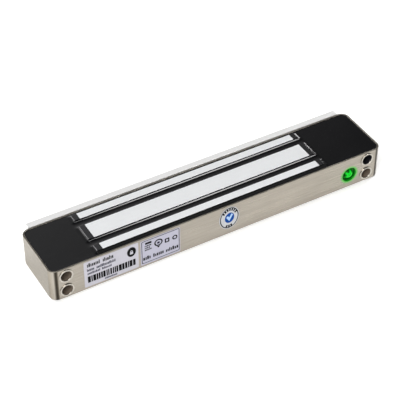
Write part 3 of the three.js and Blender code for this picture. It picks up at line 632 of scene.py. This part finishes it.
def make_piece(name, mesh_code, finishes, stands_for=(), cutter=None, edge=0.0, sharp=35):
    """Finishes a piece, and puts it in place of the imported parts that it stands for."""
    piece = to_object(name, mesh_code, finishes)
    if cutter:
        tool = to_object(name + "_cutter", cutter)
        holes = piece.modifiers.new("holes", "BOOLEAN")
        holes.object, holes.operation, holes.solver = tool, "DIFFERENCE", "EXACT"
    if edge:
        bevel = piece.modifiers.new("edges", "BEVEL")
        bevel.width, bevel.segments = edge * MM, 2
        bevel.limit_method, bevel.angle_limit = "ANGLE", math.radians(50)
    apply_modifiers(piece)
    if cutter:
        bpy.data.objects.remove(tool)
    piece.data.shade_smooth()
    piece.data.set_sharp_from_angle(angle=math.radians(sharp))
    flat = piece.modifiers.new("flat faces", "WEIGHTED_NORMAL")
    flat.keep_sharp = True
    apply_modifiers(piece)
    piece.data.name = name
    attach(piece, "root")
    if stands_for:
        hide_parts(*stands_for)
    print(f"{name}: {len(piece.data.polygons)} faces")
    return piece


def second_finish(piece, is_chosen):
    """Gives the second material of a piece to the faces that a test picks."""
    for face in piece.data.polygons:
        face.material_index = 1 if is_chosen(face) else 0
    print("faces with the second finish:", sum(face.material_index for face in piece.data.polygons))


def soften(corners, steps=5):
    """Rounds the corners of a closed outline. A corner is (across, along), or (across, along, radius)."""
    points = []
    for i, (across, along, *given) in enumerate(corners):
        here = Vector((across, along))
        if not given:
            points.append(here)
            continue
        before = (Vector(corners[i - 1][:2]) - here).normalized()
        after = (Vector(corners[(i + 1) % len(corners)][:2]) - here).normalized()
        half = before.angle(after) / 2
        centre = here + (before + after).normalized() * given[0] / math.sin(half)
        start = here + before * given[0] / math.tan(half) - centre
        end = here + after * given[0] / math.tan(half) - centre
        sweep = start.angle_signed(end)
        for step in range(steps + 1):
            turn = -sweep * step / steps
            turned_to = Vector((
                start.x * math.cos(turn) - start.y * math.sin(turn),
                start.x * math.sin(turn) + start.y * math.cos(turn),
            ))
            points.append(centre + turned_to)
    return points


def loft(mesh_code, rings, closed=False, capped=True, finish=0):
    """Joins rings of points, all of the same length, into a skin. Open ends are capped."""
    made = [[mesh_code.verts.new(point) for point in ring] for ring in rings]
    following = made[1:] + made[:1] if closed else made[1:]
    for ring, after in zip(made, following):
        for i in range(len(ring)):
            j = (i + 1) % len(ring)
            mesh_code.faces.new((ring[i], ring[j], after[j], after[i])).material_index = finish
    if capped and not closed:
        for ring in (made[0], made[-1]):
            mesh_code.faces.new(ring).material_index = finish


def turned(mesh_code, outline, x, z, segments=64, closed=True, finish=0):
    """A piece turned about an axis along Y. Its outline is a list of (radius, y)."""
    angles = [2 * math.pi * i / segments for i in range(segments)]
    rings = [
        [(x + radius * math.cos(angle), y, z + radius * math.sin(angle)) for angle in angles]
        for radius, y in outline
    ]
    loft(mesh_code, rings, closed=closed, capped=False, finish=finish)


def rectangle(left, low, right, high, radius):
    """A rectangle with round corners, as a list of points."""
    radius = max(radius, 0.01)
    return soften([(left, low, radius), (right, low, radius), (right, high, radius), (left, high, radius)], 8)


QUARTER = [math.radians(15 * step) for step in range(7)]
print("quarter turns are drawn in", len(QUARTER) - 1, "steps")

# %% [markdown]
# ## The case
# The case is one sheet, folded up and welded at the corners, which were ground round. It is drawn as a stack
# of rounded rectangles: round the bottom fold, up the outside, over the rim, down the inside and across the
# floor. Then the holes for the sleeves, the lamp and the cable are cut, with slightly eased mouths.
# The top of the rim is the sheet's cut edge, and has a finish of its own.


# %% Build the case
SHEET = 1.2
CORNER_RADIUS = 5.5
FOLD_RADIUS = 1.5
RIM_RADIUS = 0.3
SLEEVE_HOLE = 4.65
LAMP_HOLE = 5.45
INLET_HOLE = 5.2
HOLE_EASE = 0.2
BEYOND = 5

SLEEVES = [f"sleeve_{side}_{height}" for side in ("left", "right") for height in ("lower", "upper")]


def case_ring(inset, height):
    """One level of the case, drawn in from its outside."""
    outline = rectangle(
        case_low.x + inset, case_low.y + inset, case_high.x - inset, case_high.y - inset,
        CORNER_RADIUS - inset,
    )
    return [(point.x, point.y, height) for point in outline]


def case_levels():
    rim = case_high.z - RIM_RADIUS
    fold = [(FOLD_RADIUS * (1 - math.sin(a)), FOLD_RADIUS * (1 - math.cos(a))) for a in QUARTER]
    over = [(RIM_RADIUS * (1 - math.cos(a)), rim + RIM_RADIUS * math.sin(a)) for a in QUARTER]
    back = [(SHEET - inset, height) for inset, height in reversed(over)]
    return fold + over + back + [(SHEET, 2 * SHEET), (1.5 * SHEET, 1.2 * SHEET), (2 * SHEET, SHEET)]


def hole(mesh_code, x, z, radius, face, inward):
    """A drill that eases the mouth of the hole it makes. It goes in through a face."""
    outside, inside = face - inward * BEYOND, face + inward * BEYOND
    turned(mesh_code, [
        (0, outside), (radius + HOLE_EASE, outside), (radius + HOLE_EASE, face),
        (radius, face + inward * HOLE_EASE), (radius, inside), (0, inside),
    ], x, z, closed=False)


def case_holes():
    mesh_code = bmesh.new()
    for name in SLEEVES:
        for face, inward in ((case_low.y, 1), (case_high.y, -1)):
            hole(mesh_code, *centre_of(name), SLEEVE_HOLE, face, inward)
    hole(mesh_code, lamp_centre.x, lamp_centre.z, LAMP_HOLE, case_low.y, 1)
    hole(mesh_code, *centre_of("cable_grommet"), INLET_HOLE, case_high.y, -1)
    return mesh_code


mesh_code = bmesh.new()
loft(mesh_code, [case_ring(*level) for level in case_levels()])
case = make_piece(
    "brushed_case", mesh_code, [stainless, cut_edge], ["case_shell"],
    cutter=case_holes(),
)
second_finish(case, lambda face: face.center.z > (case_high.z - RIM_RADIUS / 2) * MM)

# %% [markdown]
# ## The magnet core and its cheeks
# The core is an E seen from its end: a back iron at the bottom, and three legs that end in the pole faces.
# It is one outline pushed along X. The moulded cheeks at both ends have the same outline, and their outer top
# edges are rounded, which gives the bright line at the end of each pole.
# A face that lies on top gets the ground finish. All the others are lacquered.


# %% Build the core
stack_low, stack_high = box_mm("lamination_stack")
core_middle = (stack_low.y + stack_high.y) / 2
YOKE_THICKNESS = 6.2
OUTER_LEG = 5.55
CENTRE_LEG = 13.6
CHEEK_EDGE = 0.9
RIVET_HOLE = 2.0


def e_outline():
    """The E of the core, as points in Y and Z."""
    yoke = stack_low.z + YOKE_THICKNESS
    left, right = stack_low.y, stack_high.y
    centre = CENTRE_LEG / 2
    return [
        (left, stack_low.z), (right, stack_low.z), (right, stack_high.z), (right - OUTER_LEG, stack_high.z),
        (right - OUTER_LEG, yoke), (core_middle + centre, yoke), (core_middle + centre, stack_high.z),
        (core_middle - centre, stack_high.z), (core_middle - centre, yoke), (left + OUTER_LEG, yoke),
        (left + OUTER_LEG, stack_high.z), (left, stack_high.z),
    ]


def rivet_drills():
    """Two long round bars along X, where the rivets pass through the core."""
    mesh_code = bmesh.new()
    for name in ("core_rivet_front", "core_rivet_rear"):
        low, high = box_mm(name)
        y, z = (low.y + high.y) / 2, (low.z + high.z) / 2
        circle = [
            (y + RIVET_HOLE * math.cos(angle), z + RIVET_HOLE * math.sin(angle))
            for angle in (math.radians(15 * i) for i in range(24))
        ]
        loft(mesh_code, [[(x, *point) for point in circle] for x in (low.x - BEYOND, high.x + BEYOND)])
    return mesh_code


mesh_code = bmesh.new()
loft(mesh_code, [[(x, y, z) for y, z in e_outline()] for x in (stack_low.x, stack_high.x)])
core = make_piece(
    "laminated_core", mesh_code, [lacquer, pole_steel], ["lamination_stack"],
    cutter=rivet_drills(), edge=0.12,
)
second_finish(core, lambda face: face.center.z > (stack_high.z - 0.2) * MM and face.normal.z > 0.3)


# %% Build the cheeks
def cheek_rings(name):
    """The E at several places along a cheek, lowered towards the outside to round its top edge."""
    low, high = box_mm(name)
    outwards = 1 if low.x > 0 else -1
    inner, outer = (low.x, high.x) if outwards > 0 else (high.x, low.x)
    turn = outer - outwards * CHEEK_EDGE
    places = [(inner, 0)] + [
        (turn + outwards * CHEEK_EDGE * math.sin(a), CHEEK_EDGE * (1 - math.cos(a))) for a in QUARTER
    ]
    top = stack_high.z
    return [
        [(x, y, top - drop if z == top else z) for y, z in e_outline()]
        for x, drop in places
    ]


for side in ("left", "right"):
    mesh_code = bmesh.new()
    loft(mesh_code, cheek_rings(f"end_cheek_{side}"))
    make_piece(
        f"moulded_cheek_{side}", mesh_code, [nylon], [f"end_cheek_{side}"],
        cutter=rivet_drills(), edge=0.15,
    )

# %% [markdown]
# ## The surface of the resin
# Liquid resin climbs a little where it meets a wall. That curve, the meniscus, stays when the resin sets, and
# it draws a thin line of light round each pole. A flat surface would miss it. Between two legs both curves
# add up, and near the case's wall they are held down.
# The height falls off with the distance from each wall, as a liquid's does. The mesh is made from outlines
# drawn round every wall at growing distances, which are joined into triangles.


# %% Build the resin surface
resin_top = box_mm("potting_resin")[1].z
FILM = 0.02
CLIMB = 0.72
FALL_OFF = 1.3
RIM_CLIMB = 0.08
AWAY = [0, 0.1, 0.22, 0.38, 0.6, 0.9, 1.3, 1.8, 2.4, 3.1]

cheek_left, cheek_right = box_mm("end_cheek_left")[0].x, box_mm("end_cheek_right")[1].x
LEGS = [
    (stack_low.y, stack_low.y + OUTER_LEG),
    (core_middle - CENTRE_LEG / 2, core_middle + CENTRE_LEG / 2),
    (stack_high.y - OUTER_LEG, stack_high.y),
]


def from_rectangle(point, left, low, right, high, radius=0.0):
    """The distance from a rounded rectangle, negative inside it."""
    across = abs(point.x - (left + right) / 2) - (right - left) / 2 + radius
    along = abs(point.y - (low + high) / 2) - (high - low) / 2 + radius
    outside = math.hypot(max(across, 0), max(along, 0))
    return outside + min(max(across, along), 0) - radius


def from_wall(point):
    return -from_rectangle(
        point, case_low.x + SHEET, case_low.y + SHEET, case_high.x - SHEET, case_high.y - SHEET,
        CORNER_RADIUS - SHEET,
    )


def from_legs(point):
    return [from_rectangle(point, cheek_left, low, cheek_right, high) for low, high in LEGS]


def resin_height(point):
    at_rim = max(from_wall(point), 0)
    climb = sum(CLIMB * math.exp(-max(away, 0) / FALL_OFF) for away in from_legs(point))
    held_down = 1 - math.exp(-at_rim / FALL_OFF)
    return resin_top + FILM + climb * held_down + RIM_CLIMB * math.exp(-at_rim / FALL_OFF)


def resin_outlines():
    """Outlines round each leg and inside the wall, at growing distances."""
    legs = [
        rectangle(cheek_left - away, low - away, cheek_right + away, high + away, away)
        for low, high in LEGS for away in AWAY
    ]
    walls = [
        rectangle(
            case_low.x + SHEET + away, case_low.y + SHEET + away,
            case_high.x - SHEET - away, case_high.y - SHEET - away, CORNER_RADIUS - SHEET - away,
        )
        for away in AWAY[:-3]
    ]
    return legs + walls


points, edges = [], []
for outline in resin_outlines():
    first = len(points)
    points += outline
    edges += [(first + i, first + (i + 1) % len(outline)) for i in range(len(outline))]
flat_points, _, triangles, *_ = delaunay_2d_cdt(points, edges, [], 0, 1e-5)
mesh_code = bmesh.new()
corners = [mesh_code.verts.new((point.x, point.y, resin_height(point))) for point in flat_points]
for triangle in triangles:
    centre = sum((flat_points[i] for i in triangle), Vector((0, 0))) / 3
    if from_wall(centre) > 0 and min(from_legs(centre)) > 0:
        mesh_code.faces.new([corners[i] for i in triangle])
loose = [corner for corner in mesh_code.verts if not corner.link_faces]
bmesh.ops.delete(mesh_code, geom=loose, context="VERTS")
thickened = bmesh.ops.extrude_face_region(mesh_code, geom=mesh_code.faces[:])
for corner in thickened["geom"]:
    if isinstance(corner, bmesh.types.BMVert):
        corner.co.z = resin_top + FILM / 2
# The strip in front of the core gets the darker copy of the resin, which is painted shade.
surface = make_piece("resin_surface", mesh_code, [resin, resin_strip_painted_shade], sharp=60)
second_finish(surface, lambda face: (
    face.center.y < stack_low.y * MM and cheek_left < face.center.x / MM < cheek_right
))

# %% [markdown]
# ## Sleeves and screws
# Four steel sleeves run through the case, so that a screw can be tightened without crushing it. Each is
# flared over the front wall, and its mouth is well rounded. The two lower ones hold the screws that
# fasten the case to its plate, with a hexagon socket for the key.
# Both are turned from an outline, and the hexagon is cut out.


# %% Build the sleeves and screws
SLEEVE_RADIUS = 4.35
SLEEVE_BORE = 3.75
RIM_HEIGHT = 0.5
SCREW_WAY = 2.3
HEX_KEY = 3.0
HEX_DEPTH = 2.2
SCREW_RADIUS = 1.95
HEAD_HEIGHT = 4.0
LAID_ON = 0.1


screw_low, screw_high = box_mm("fixing_screw_left")
screw_seat = screw_low.y + HEAD_HEIGHT + LAID_ON

for name in SLEEVES:
    low, high = box_mm(name)
    flare = (high.x - low.x) / 2
    outline = soften([
        (SLEEVE_BORE, low.y, 0.4), (flare, low.y, 0.22), (flare, low.y + RIM_HEIGHT),
        (SLEEVE_RADIUS, low.y + RIM_HEIGHT), (SLEEVE_RADIUS, high.y), (SCREW_WAY, high.y),
        (SCREW_WAY, screw_seat), (SLEEVE_BORE, screw_seat),
    ])
    mesh_code = bmesh.new()
    turned(mesh_code, outline, *centre_of(name))
    # The upper right bore gets the near-black copy of the bore finish, which is painted shade.
    bore = shaded_bore_copy if name == "sleeve_right_upper" else dull_bore
    sleeve = make_piece("flared_" + name, mesh_code, [nickel, bore], [name], sharp=40)
    x, z = centre_of(name)
    second_finish(sleeve, lambda face: (
        face.center.y > (low.y + RIM_HEIGHT) * MM
        and math.hypot(face.center.x / MM - x, face.center.z / MM - z) < SLEEVE_BORE + 0.01
    ))

for name in ("fixing_screw_left", "fixing_screw_right"):
    low, high = box_mm(name)
    head = (high.x - low.x) / 2
    outline = soften([
        (0, low.y), (head, low.y, 0.4), (head, low.y + HEAD_HEIGHT, 0.1),
        (SCREW_RADIUS, low.y + HEAD_HEIGHT, 0.2), (SCREW_RADIUS, high.y, 0.5), (0, high.y),
    ])
    mesh_code = bmesh.new()
    turned(mesh_code, outline, *centre_of(name), segments=48, closed=False)
    key = bmesh.new()
    across_corners = HEX_KEY / math.cos(math.pi / 6) / 2
    turned(key, [
        (0, low.y - 1), (across_corners, low.y - 1), (across_corners, low.y + HEX_DEPTH),
        (0, low.y + HEX_DEPTH + 0.6),
    ], *centre_of(name), segments=6, closed=False)
    make_piece("socket_" + name, mesh_code, [screw_steel], [name], cutter=key, sharp=40)

# %% [markdown]
# ## The lamp
# The dome is a half ball on a short barrel, and the dish round it slopes in from the wall of the case.
# Both are turned outlines. The dome's outline is an arc, so that it has no flat spots.


# %% Build the lamp
dish_low, dish_high = box_mm("lamp_holder")
dish_radius = (dish_high.x - dish_low.x) / 2
dish_bore = dome_radius + 0.3
DISH_DEPTH = 1.7

dome = [
    (dome_radius * math.sin(angle / 2), led_low.y + dome_radius * (1 - math.cos(angle / 2)))
    for angle in (math.pi * step / 16 for step in range(17))
]
mesh_code = bmesh.new()
dome += [(dome_radius, led_high.y), (0, led_high.y)]
turned(mesh_code, dome, lamp_centre.x, lamp_centre.z, closed=False)
make_piece("lit_lamp_dome", mesh_code, [lit_dome], ["status_led"], sharp=50)

outline = soften([
    (dish_bore, dish_low.y + DISH_DEPTH, 0.15), (dish_radius - 0.7, dish_low.y + DISH_DEPTH, 0.5),
    (dish_radius - 0.4, dish_low.y, 0.1), (dish_radius, dish_low.y, 0.1), (dish_radius, dish_high.y),
    (dish_bore, dish_high.y),
])
mesh_code = bmesh.new()
turned(mesh_code, outline, lamp_centre.x, lamp_centre.z)
make_piece("lamp_dish", mesh_code, [dish_plastic], ["lamp_holder"], sharp=50)

# %% [markdown]
# ## The cable grommet
# A rubber ring snaps into the back wall, with a soft lip on each side of the sheet. Its outline is turned,
# with generous roundings, because rubber is moulded without sharp edges.

# %% Build the grommet
low, high = box_mm("cable_grommet")
lip_radius = (high.x - low.x) / 2
INLET_BORE = 3.1
GROOVE = 4.9
LIP = 1.5
outline = soften([
    (INLET_BORE, low.y, 0.5), (lip_radius, low.y, 0.6), (lip_radius, low.y + LIP, 0.2),
    (GROOVE, low.y + LIP, 0.1), (GROOVE, high.y - LIP, 0.1), (lip_radius, high.y - LIP, 0.2),
    (lip_radius, high.y, 0.6), (INLET_BORE, high.y, 0.5),
])
mesh_code = bmesh.new()
turned(mesh_code, outline, *centre_of("cable_grommet"))
make_piece("rubber_grommet", mesh_code, [rubber], ["cable_grommet"], sharp=60)

# %% [markdown]
# ## The mounting plate
# A flat aluminium bar is screwed to the door frame first, through its slots and countersunk holes, and the
# case is then fastened to it. Its outline is a rectangle with barely rounded corners, in several levels
# along Y, so that its long edges are broken as an extruded bar's are. The holes are cut out.
# A slot is given as its place along X, length and width, and a hole as its place, radius and countersink.


# %% Build the mounting plate
plate_low, plate_high = box_mm("mounting_plate")
PLATE_CORNER = 0.5
PLATE_EDGE = 0.35
FRAME_SLOT = (62, 26, 6)
FRAME_HOLE = (26, 2.75, 5.2)
CABLE_SLOT = (20, 14)


def plate_ring(inset, y):
    outline = rectangle(
        plate_low.x + inset, plate_low.z + inset, plate_high.x - inset, plate_high.z - inset, PLATE_CORNER,
    )
    return [(point.x, y, point.y) for point in outline]


def slot_cutter(mesh_code, x, z, length, width):
    outline = rectangle(x - length / 2, z - width / 2, x + length / 2, z + width / 2, width / 2 - 0.01)
    loft(mesh_code, [
        [(point.x, y, point.y) for point in outline] for y in (plate_low.y - BEYOND, plate_high.y + BEYOND)
    ])


def plate_holes():
    mesh_code = bmesh.new()
    level = (plate_low.z + plate_high.z) / 2
    x, length, width = FRAME_SLOT
    slot_cutter(mesh_code, -x, level, length, width)
    slot_cutter(mesh_code, x, level, length, width)
    slot_cutter(mesh_code, *centre_of("cable_grommet"), *CABLE_SLOT)
    x, radius, sink = FRAME_HOLE
    for side in (-x, x):
        turned(mesh_code, [
            (0, plate_low.y - 1), (sink + 1, plate_low.y - 1), (radius, plate_low.y + sink - radius),
            (radius, plate_high.y + 1), (0, plate_high.y + 1),
        ], side, level, closed=False)
    for name in SLEEVES:
        turned(mesh_code, [
            (0, plate_low.y - 1), (SCREW_WAY, plate_low.y - 1), (SCREW_WAY, plate_high.y + 1),
            (0, plate_high.y + 1),
        ], *centre_of(name), closed=False)
    return mesh_code


front_edge = [
    (PLATE_EDGE * (1 - math.sin(a)), plate_low.y + PLATE_EDGE * (1 - math.cos(a))) for a in QUARTER
]
back_edge = [(inset, plate_low.y + plate_high.y - y) for inset, y in reversed(front_edge)]
mesh_code = bmesh.new()
loft(mesh_code, [plate_ring(*level) for level in front_edge + back_edge])
make_piece(
    "anodised_plate", mesh_code, [aluminium], ["mounting_plate"],
    cutter=plate_holes(), sharp=30,
)

# %% [markdown]
# ## Printed labels
# Two labels and a sticker are stuck on the long side. Each is a thin film with its print as a layer of ink on
# top, a few hundredths of a millimetre thick. The print is deliberately meaningless: rows of plain strokes
# stand where small print would be, and simple pictograms stand where marks would be.
# All shapes of a label go into one mesh, and each ink is a material of that mesh.


# %% Helpers for print
INK = 0.02
chance = random.Random(7)


def flat_shape(mesh_code, outline, back, thickness, finish):
    """A flat shape on the front of the case, drawn in X and Z, with a real thickness."""
    loft(mesh_code, [[(x, y, z) for x, z in outline] for y in (back, back - thickness)], finish=finish)


def flat_ring(mesh_code, outer, inner, back, finish):
    """A flat line between two outlines that have the same number of points."""
    rings = [
        [(x, y, z) for x, z in outline]
        for outline, y in ((outer, back), (outer, back - INK), (inner, back - INK), (inner, back))
    ]
    loft(mesh_code, rings, closed=True, finish=finish)


def oval(x, z, half_width, half_height, count=48):
    angles = [2 * math.pi * i / count for i in range(count)]
    return [(x + half_width * math.cos(a), z + half_height * math.sin(a)) for a in angles]


def bar(mesh_code, left, low, right, high, back, finish):
    flat_shape(mesh_code, [(left, low), (right, low), (right, high), (left, high)], back, INK, finish)


def strokes(mesh_code, left, right, low, high, stroke, back, finish):
    """A run of plain strokes of uneven height, in the place of a word."""
    x = left
    while x + stroke <= right:
        rise = chance.choice((0.7, 0.78, 0.78, 1.0))
        wide = stroke * chance.choice((0.8, 1.0, 1.25))
        bar(mesh_code, x, low, x + wide, low + rise * (high - low), back, finish)
        x += wide + stroke * 0.4


def start_label(name, outline_of):
    """The film of a label, its corners, and the height in Y that its ink reaches."""
    low, high = box_mm(name)
    mesh_code = bmesh.new()
    flat_shape(mesh_code, outline_of(low, high), high.y, high.y - low.y - INK, 0)
    return mesh_code, low, high, low.y + INK


def label_outline(low, high):
    return rectangle(low.x, low.z, high.x, high.z, 0.8)


def sticker_outline(low, high):
    return oval((low.x + high.x) / 2, (low.z + high.z) / 2, (high.x - low.x) / 2, (high.z - low.z) / 2, 64)


# %% Build the rating label
mesh_code, low, high, ink = start_label("rating_label", label_outline)
for left, right, base, top, stroke, finish in (
    (2.3, 12.0, 16.6, 19.8, 0.85, 1),
    (13.4, 20.8, 16.6, 19.8, 0.85, 1),
    (2.1, 7.6, 13.0, 15.3, 0.6, 2),
    (8.8, 22.4, 13.0, 15.3, 0.6, 2),
    (2.3, 11.4, 10.2, 12.1, 0.55, 2),
    (12.6, 19.9, 10.2, 12.1, 0.55, 2),
    (14.1, 23.1, 1.0, 2.6, 0.34, 2),
):
    strokes(mesh_code, low.x + left, low.x + right, low.z + base, low.z + top, stroke, ink, finish)

x = low.x + 2.3
while x < low.x + 36:
    wide = chance.choice((0.9, 1.2, 1.6, 2.0))
    bar(mesh_code, x, low.z + 3.3, min(x + wide, low.x + 36.3), low.z + 8.6, ink, 1)
    x += wide + chance.choice((0.35, 0.45, 0.6))

disc_x, disc_z = low.x + 33.7, low.z + 15.4
flat_shape(mesh_code, oval(disc_x, disc_z, 3.2, 4.0), ink, INK / 2, 1)
on_disc = ink - INK / 2
body = rectangle(disc_x - 1.1, disc_z - 1.9, disc_x + 1.1, disc_z, 0.2)
flat_shape(mesh_code, body, on_disc, INK / 2, 0)
shackle = [(half, half * 1.5) for half in (0.95, 0.5)]
angles = [math.pi * i / 12 for i in range(13)]
outer, inner = [
    [(disc_x + half * math.cos(a), disc_z + rise * math.sin(a)) for a in angles] for half, rise in shackle
]
flat_shape(mesh_code, outer + inner[::-1], on_disc, INK / 2, 0)
make_piece(
    "printed_rating_label", mesh_code, [white_film, black_ink, grey_ink], ["rating_label"],
)

# %% Build the approval label
mesh_code, low, high, ink = start_label("approval_label", label_outline)
flat_ring(
    mesh_code,
    rectangle(low.x + 0.7, low.z + 1.2, high.x - 0.5, high.z - 0.6, 0.8),
    rectangle(low.x + 1.15, low.z + 1.65, high.x - 0.95, high.z - 1.05, 0.6),
    ink, 1,
)
bar(mesh_code, low.x + 3.4, low.z + 16.9, low.x + 8.0, low.z + 18.6, ink, 1)
for row, width in enumerate((5.2, 4.6, 5.2)):
    base = low.z + 15.0 - 1.7 * row
    strokes(mesh_code, low.x + 3.0, low.x + 3.0 + width, base, base + 1.5, 0.7, ink, 1)

cloud_x, cloud_z = low.x + 13.0, low.z + 14.9
flat_ring(mesh_code, oval(cloud_x, cloud_z, 3.1, 2.9), oval(cloud_x, cloud_z, 2.1, 1.9), ink, 1)
flat_shape(mesh_code, oval(cloud_x, cloud_z - 0.2, 1.1, 0.9, 24), ink, INK, 2)
flat_shape(mesh_code, [
    (cloud_x - 1.3, cloud_z - 3.1), (cloud_x, cloud_z - 4.6), (cloud_x + 1.3, cloud_z - 3.1),
], ink, INK, 1)

square_x, ring_x, mark_z = low.x + 19.3, low.x + 25.0, low.z + 13.9
flat_ring(
    mesh_code,
    rectangle(square_x - 1.7, mark_z - 1.8, square_x + 1.7, mark_z + 1.8, 0.4),
    rectangle(square_x - 0.8, mark_z - 0.9, square_x + 0.8, mark_z + 0.9, 0.2),
    ink, 1,
)
flat_ring(mesh_code, oval(ring_x, mark_z, 1.9, 1.9, 32), oval(ring_x, mark_z, 1.0, 1.0, 32), ink, 1)
for left, right in ((1.7, 7.9), (9.0, 16.9), (18.3, 27.3)):
    strokes(mesh_code, low.x + left, low.x + right, low.z + 3.8, low.z + 6.8, 1.0, ink, 1)
make_piece(
    "printed_approval_label", mesh_code, [silver_film, black_ink, grey_ink],
    ["approval_label"],
)

# %% Build the inspection sticker
mesh_code, low, high, ink = start_label("inspection_sticker", sticker_outline)
centre_x, centre_z = centre_of("inspection_sticker")
half_width, half_height = (high.x - low.x) / 2, (high.z - low.z) / 2
flat_ring(
    mesh_code,
    oval(centre_x, centre_z, half_width - 0.5, half_height - 0.5),
    oval(centre_x, centre_z, half_width - 1.2, half_height - 1.2),
    ink, 1,
)
RIM_STROKES = [140, 122, 104, 86, 68, 50, 32, 250, 268, 286]
for degrees in RIM_STROKES:
    angle = math.radians(degrees)
    out = Vector((math.cos(angle) * (half_width - 1.6), math.sin(angle) * (half_height - 1.7)))
    along, across = out.normalized() * 0.95, out.normalized().orthogonal() * 0.62
    centre = Vector((centre_x, centre_z)) + out * 0.93
    outline = [centre + a * along + b * across for a, b in ((-1, -1), (1, -1), (1, 1), (-1, 1))]
    flat_shape(mesh_code, outline, ink, INK, 1)
flat_shape(mesh_code, oval(centre_x + 0.2, centre_z, 3.55, 4.3), ink, INK / 2, 2)
tick = [(-2.6, 0.9), (-1.3, 1.9), (-0.3, 0.3), (1.5, 3.3), (2.6, 2.0), (-0.2, -2.8)]
flat_shape(mesh_code, [(centre_x + 0.2 + x, centre_z + z) for x, z in tick], ink - INK / 2, INK / 2, 3)
make_piece(
    "printed_inspection_sticker", mesh_code, [paper, black_ink, blue_ink, sky_ink],
    ["inspection_sticker"],
)

# %% [markdown]
# ## Studio
# A product is often shown on a white sweep under soft lights. The floor is matt white board, which glows
# a little so that it stays pure white.
# The metal and the resin mirror the sky, so the sky is graded: bright near the horizon, almost dark
# overhead, and dimmer to the right and in front. Four lights give the lock its shape: a small strong one
# far to the right overhead, a large one at the front left, and one at each side of the back.


# %% Floor and lights
def white_board():
    material, tree, shader, place = start_material(
        "matt_white_board", Roughness=0.9, Specular_IOR_Level=0.1, Emission_Strength=0.3,
        Emission_Color=colour("ffffff"),
    )
    fibre = add(tree, "ShaderNodeTexNoise", {"Vector": place, "Scale": 1 / 40, "Detail": 3.0}).outputs["Fac"]
    tree.links.new(between(tree, fibre, colour("f0f0ef"), colour("f6f6f5")), shader.inputs["Base Color"])
    return material


def soft_light(name, place, size, brightness):
    """A round soft light that faces the lock. Its brightness is that of its face, with white as 1."""
    light = bpy.data.lights.new(name, "AREA")
    light.shape, light.size = "DISK", size
    light.energy = brightness * math.pi * math.pi * size ** 2 / 4
    lamp = bpy.data.objects.new(name, light)
    lamp.location = place
    look_at(lamp, middle)
    bpy.context.scene.collection.objects.link(lamp)
    print(f"{name}: {size} m across, {light.energy:.1f} W")


mesh_code = bmesh.new()
bmesh.ops.create_grid(mesh_code, x_segments=20, y_segments=20, size=6000)
floor = to_object("floor", mesh_code, [white_board()])
floor.location.z = cad_box[0].z - 0.05 * MM

SKY_LOW, SKY_HIGH = 1.4, 0.1
SKY_RIGHT, SKY_FRONT = 0.15, 0.3
world = bpy.data.worlds.new("studio")
world.use_nodes = True
sky = world.node_tree
direction = add(sky, "ShaderNodeTexCoord").outputs["Generated"]
parts = add(sky, "ShaderNodeSeparateXYZ", {0: direction}).outputs
side = add(sky, "ShaderNodeMapRange", {
    "Value": parts["X"], "From Min": 0.24, "From Max": 0.5, "To Min": 1.0, "To Max": SKY_RIGHT,
}).outputs["Result"]
height = add(sky, "ShaderNodeMapRange", {
    "Value": parts["Z"], "From Min": 0.35, "From Max": 0.85, "To Min": SKY_LOW, "To Max": SKY_HIGH,
}).outputs["Result"]
behind = add(sky, "ShaderNodeMapRange", {
    "Value": parts["Y"], "From Min": 0.2, "From Max": 0.6, "To Min": SKY_FRONT, "To Max": 1.0,
}).outputs["Result"]
level = add(sky, "ShaderNodeMath", {0: side, 1: height}, operation="MULTIPLY").outputs[0]
level = add(sky, "ShaderNodeMath", {0: level, 1: behind}, operation="MULTIPLY").outputs[0]
sky.links.new(level, sky.nodes["Background"].inputs["Strength"])
sky.nodes["Background"].inputs["Color"].default_value = colour("ffffff")
bpy.context.scene.world = world
bpy.context.scene.view_settings.view_transform = "Standard"

soft_light("overhead", (0.53, 0.16, 1.28), 0.42, 16.0)
soft_light("front left", (-0.8, -0.75, 1.2), 1.2, 5.6)
soft_light("back left", (-0.75, 0.9, 0.7), 0.5, 8.0)
soft_light("back right", (1.02, 0.95, 0.33), 0.25, 12.0)

# %% [markdown]
# ## Sizes
# The box of the imported model is printed, in millimetres.

# %% Print the size of the model
print("packed model, mm:", [round(v / MM, 2) for corner in cad_box for v in corner])
